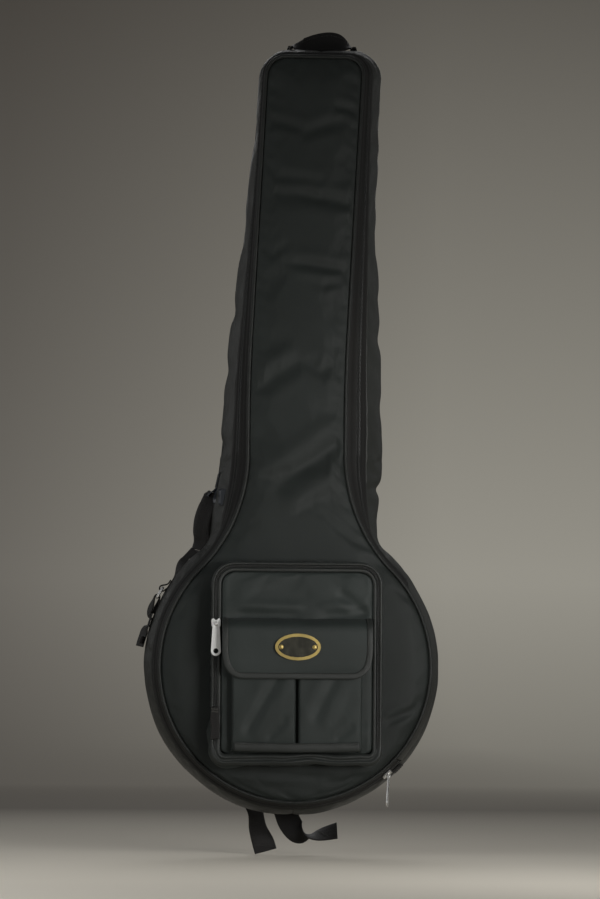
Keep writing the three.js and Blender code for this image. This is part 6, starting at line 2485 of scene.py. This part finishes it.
@dataclass(frozen=True)
class Studio:
    """The floor, the backdrop with its painted light and shade, the soft lights and the camera."""

    target: Triple = (0.0075, 0.0, 0.4884)
    aim: Triple = (-0.05, 0.0, 0.39)
    distance: float = 5.0
    yaw: float = -3.3
    pitch: float = -3.5
    roll: float = 0.4
    seen_height: float = 1.210
    floor_z: float = -0.058
    floor_near: str = "f2ebdc"
    # The far floor's own colour is darker, as painted shade where the lamps fall off.
    shaded_far_floor: str = "5c5852"
    # The wall colours are a painted glow that camera rays see. The left one is darker, as painted shade away from the
    # key lamp on the right.
    left_wall_painted: str = "64615b"
    right_wall_painted: str = "8f8c83"
    # The dark tone is painted shade, mixed into the painted glow above, below and across the middle distance.
    painted_shade_tone: str = "1c1713"
    floor_front: float = -12.0
    floor_length: float = 20.0
    half_breadth: float = 14.0
    bend_radius: float = 1.5

    def camera(self) -> None:
        """Sets the camera low and a little to the left."""
        data = bpy.data.cameras.new("camera")
        data.sensor_width = 36.0
        data.lens = 36.0 * self.distance / self.seen_height
        camera = bpy.data.objects.new("camera", data)
        bpy.context.scene.collection.objects.link(camera)
        yaw, pitch = math.radians(self.yaw), math.radians(self.pitch)
        back = Vector((math.sin(yaw) * math.cos(pitch), -math.cos(yaw) * math.cos(pitch), math.sin(pitch)))
        camera.location = Vector(self.target) + back * self.distance
        tilt = Matrix.Rotation(math.radians(self.roll), 4, "Z")
        camera.rotation_euler = ((-back).to_track_quat("-Z", "Y").to_matrix().to_4x4() @ tilt).to_euler()
        bpy.context.scene.camera = camera

    def light(self, name: str, place: Triple, size: float, power: float, colour: Triple = (1.0, 1.0, 1.0),
              spread: float = 180.0) -> None:
        """Adds one soft box that looks at the bag.

        Args:
            name: the lamp's name.
            place: where it stands.
            size: the side of its square.
            power: its power in watts.
            colour: its colour.
            spread: the angle that its grid lets light out in, in degrees.
        """
        data = bpy.data.lights.new(name, "AREA")
        data.shape = "SQUARE"
        data.size = size
        data.energy = power
        data.color = colour
        data.spread = math.radians(spread)
        lamp = bpy.data.objects.new(name, data)
        bpy.context.scene.collection.objects.link(lamp)
        lamp.location = place
        lamp.rotation_euler = (Vector(self.aim) - Vector(place)).to_track_quat("-Z", "Y").to_euler()
        lamp.visible_camera = False

    def backdrop(self) -> None:
        """A floor that curves up into a wall, pale below and grey above. In place of lamp light, camera rays see a
        painted glow on the wall and the far floor. It is darker on the left, towards the top, at the foot of the wall
        and over the floor.
        """
        bm = bmesh.new()
        bmesh.ops.create_grid(bm, x_segments=2, y_segments=140, size=1.0)
        flat, radius, front = self.floor_length, self.bend_radius, self.floor_front
        arc_length = radius * math.pi / 2
        for vert in bm.verts:
            run = (vert.co.y + 1) * self.half_breadth
            if run < flat:
                y, z = run + front, 0.0
            elif run < flat + arc_length:
                angle = (run - flat) / radius
                y, z = flat + front + radius * math.sin(angle), radius * (1 - math.cos(angle))
            else:
                y, z = flat + front + radius, radius + run - flat - arc_length
            vert.co = Vector((vert.co.x * self.half_breadth, y, z + self.floor_z))
        mesh = bpy.data.meshes.new("backdrop")
        bm.to_mesh(mesh)
        bm.free()
        for face in mesh.polygons:
            face.use_smooth = True
        graph = Graph("backdrop_paper")
        parts = graph.node("ShaderNodeSeparateXYZ", links={0: graph.in_space()})
        across, depth, height = (Value(graph.tree, output) for output in parts.outputs)
        seen = Value(graph.tree, graph.node("ShaderNodeLightPath").outputs["Is Camera Ray"])
        # Painted light: the wall's glow runs from darker on the left, as painted shade, to lighter on the right.
        painted_sides = graph.mixed(linear(self.left_wall_painted), linear(self.right_wall_painted), across.above(-0.6, 1.7))
        # Painted shade towards the top of the wall.
        upper = graph.mixed(painted_sides, linear(self.painted_shade_tone), height.above(0.6, 2.5) * 0.78)
        # Painted shade over the floor and at the foot of the wall.
        lower = graph.mixed(upper, linear(self.painted_shade_tone), (1.0 - height.above(-0.06, 0.6)) * 0.34)
        # Painted shade over the floor and the bend, fading out before the far wall.
        painted_backdrop = graph.mixed(lower, linear(self.painted_shade_tone), (1.0 - depth.above(1.6, 7.0)) * 0.36)
        # Painted shade: the floor's own colour darkens towards the back, where the lamps fall off.
        graph.feed("Base Color", graph.mixed(linear(self.floor_near), linear(self.shaded_far_floor), depth.above(-0.6, 2.4)))
        # Painted light: a faint glow on the front of the floor, seen by camera rays, lifts its shadows.
        near = tuple(0.15 * part for part in linear(self.floor_near))
        painted_front_lift = graph.mixed((0.0, 0.0, 0.0), near, 1.0 - depth.above(-1.3, 1.5))
        # Near the front the faint painted lift shows, and further back the painted wall glow.
        painted_emission = graph.mixed(painted_front_lift, painted_backdrop, depth.above(0.9, 2.4))
        # Only camera rays see the painted glow, as emission. It lights nothing.
        graph.feed("Emission Color", graph.mixed((0.0, 0.0, 0.0), painted_emission, seen))
        graph.feed("Emission Strength", 1.0)
        graph.feed("Roughness", 0.95)
        mesh.materials.append(graph.material)
        obj = bpy.data.objects.new("backdrop", mesh)
        bpy.context.scene.collection.objects.link(obj)

    def build(self) -> None:
        """Makes the studio."""
        self.camera()
        self.backdrop()
        self.light("key_light", (0.70, -1.15, 0.32), 0.5, 2.7, (1.0, 0.99, 0.97), 76.0)
        self.light("fill_light", (-1.25, -1.15, 0.45), 0.9, 6.0, (0.98, 0.99, 1.0))
        self.light("left_light", (-1.5, 0.9, 0.8), 0.9, 2.2)
        self.light("right_light", (1.5, 0.9, 0.8), 0.9, 1.0)
        self.light("back_light", (0.1, 1.9, 1.6), 1.2, 9.0)
        world = bpy.data.worlds.new("studio_air")
        bpy.context.scene.world = world
        world.use_nodes = True
        air = world.node_tree.nodes["Background"]
        air.inputs[0].default_value = (0.76, 0.76, 0.76, 1.0)
        air.inputs[1].default_value = 0.22
        bpy.context.scene.view_settings.view_transform = "Standard"


def main() -> None:
    """Builds the bag over the frame, then the studio."""
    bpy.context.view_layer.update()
    for part in (Shell(), Lid(), MainZip(), BigPocket(), SmallPockets(), Flap(), Badge(), SideHandle(), StrapDrop(),
                 HaulHandle(), ShoulderStraps(), Inside(), Hardware(), Studio()):
        part.build()
        log.info("%s is made", type(part).__name__.lower())


if __name__ == "__main__":
    main()
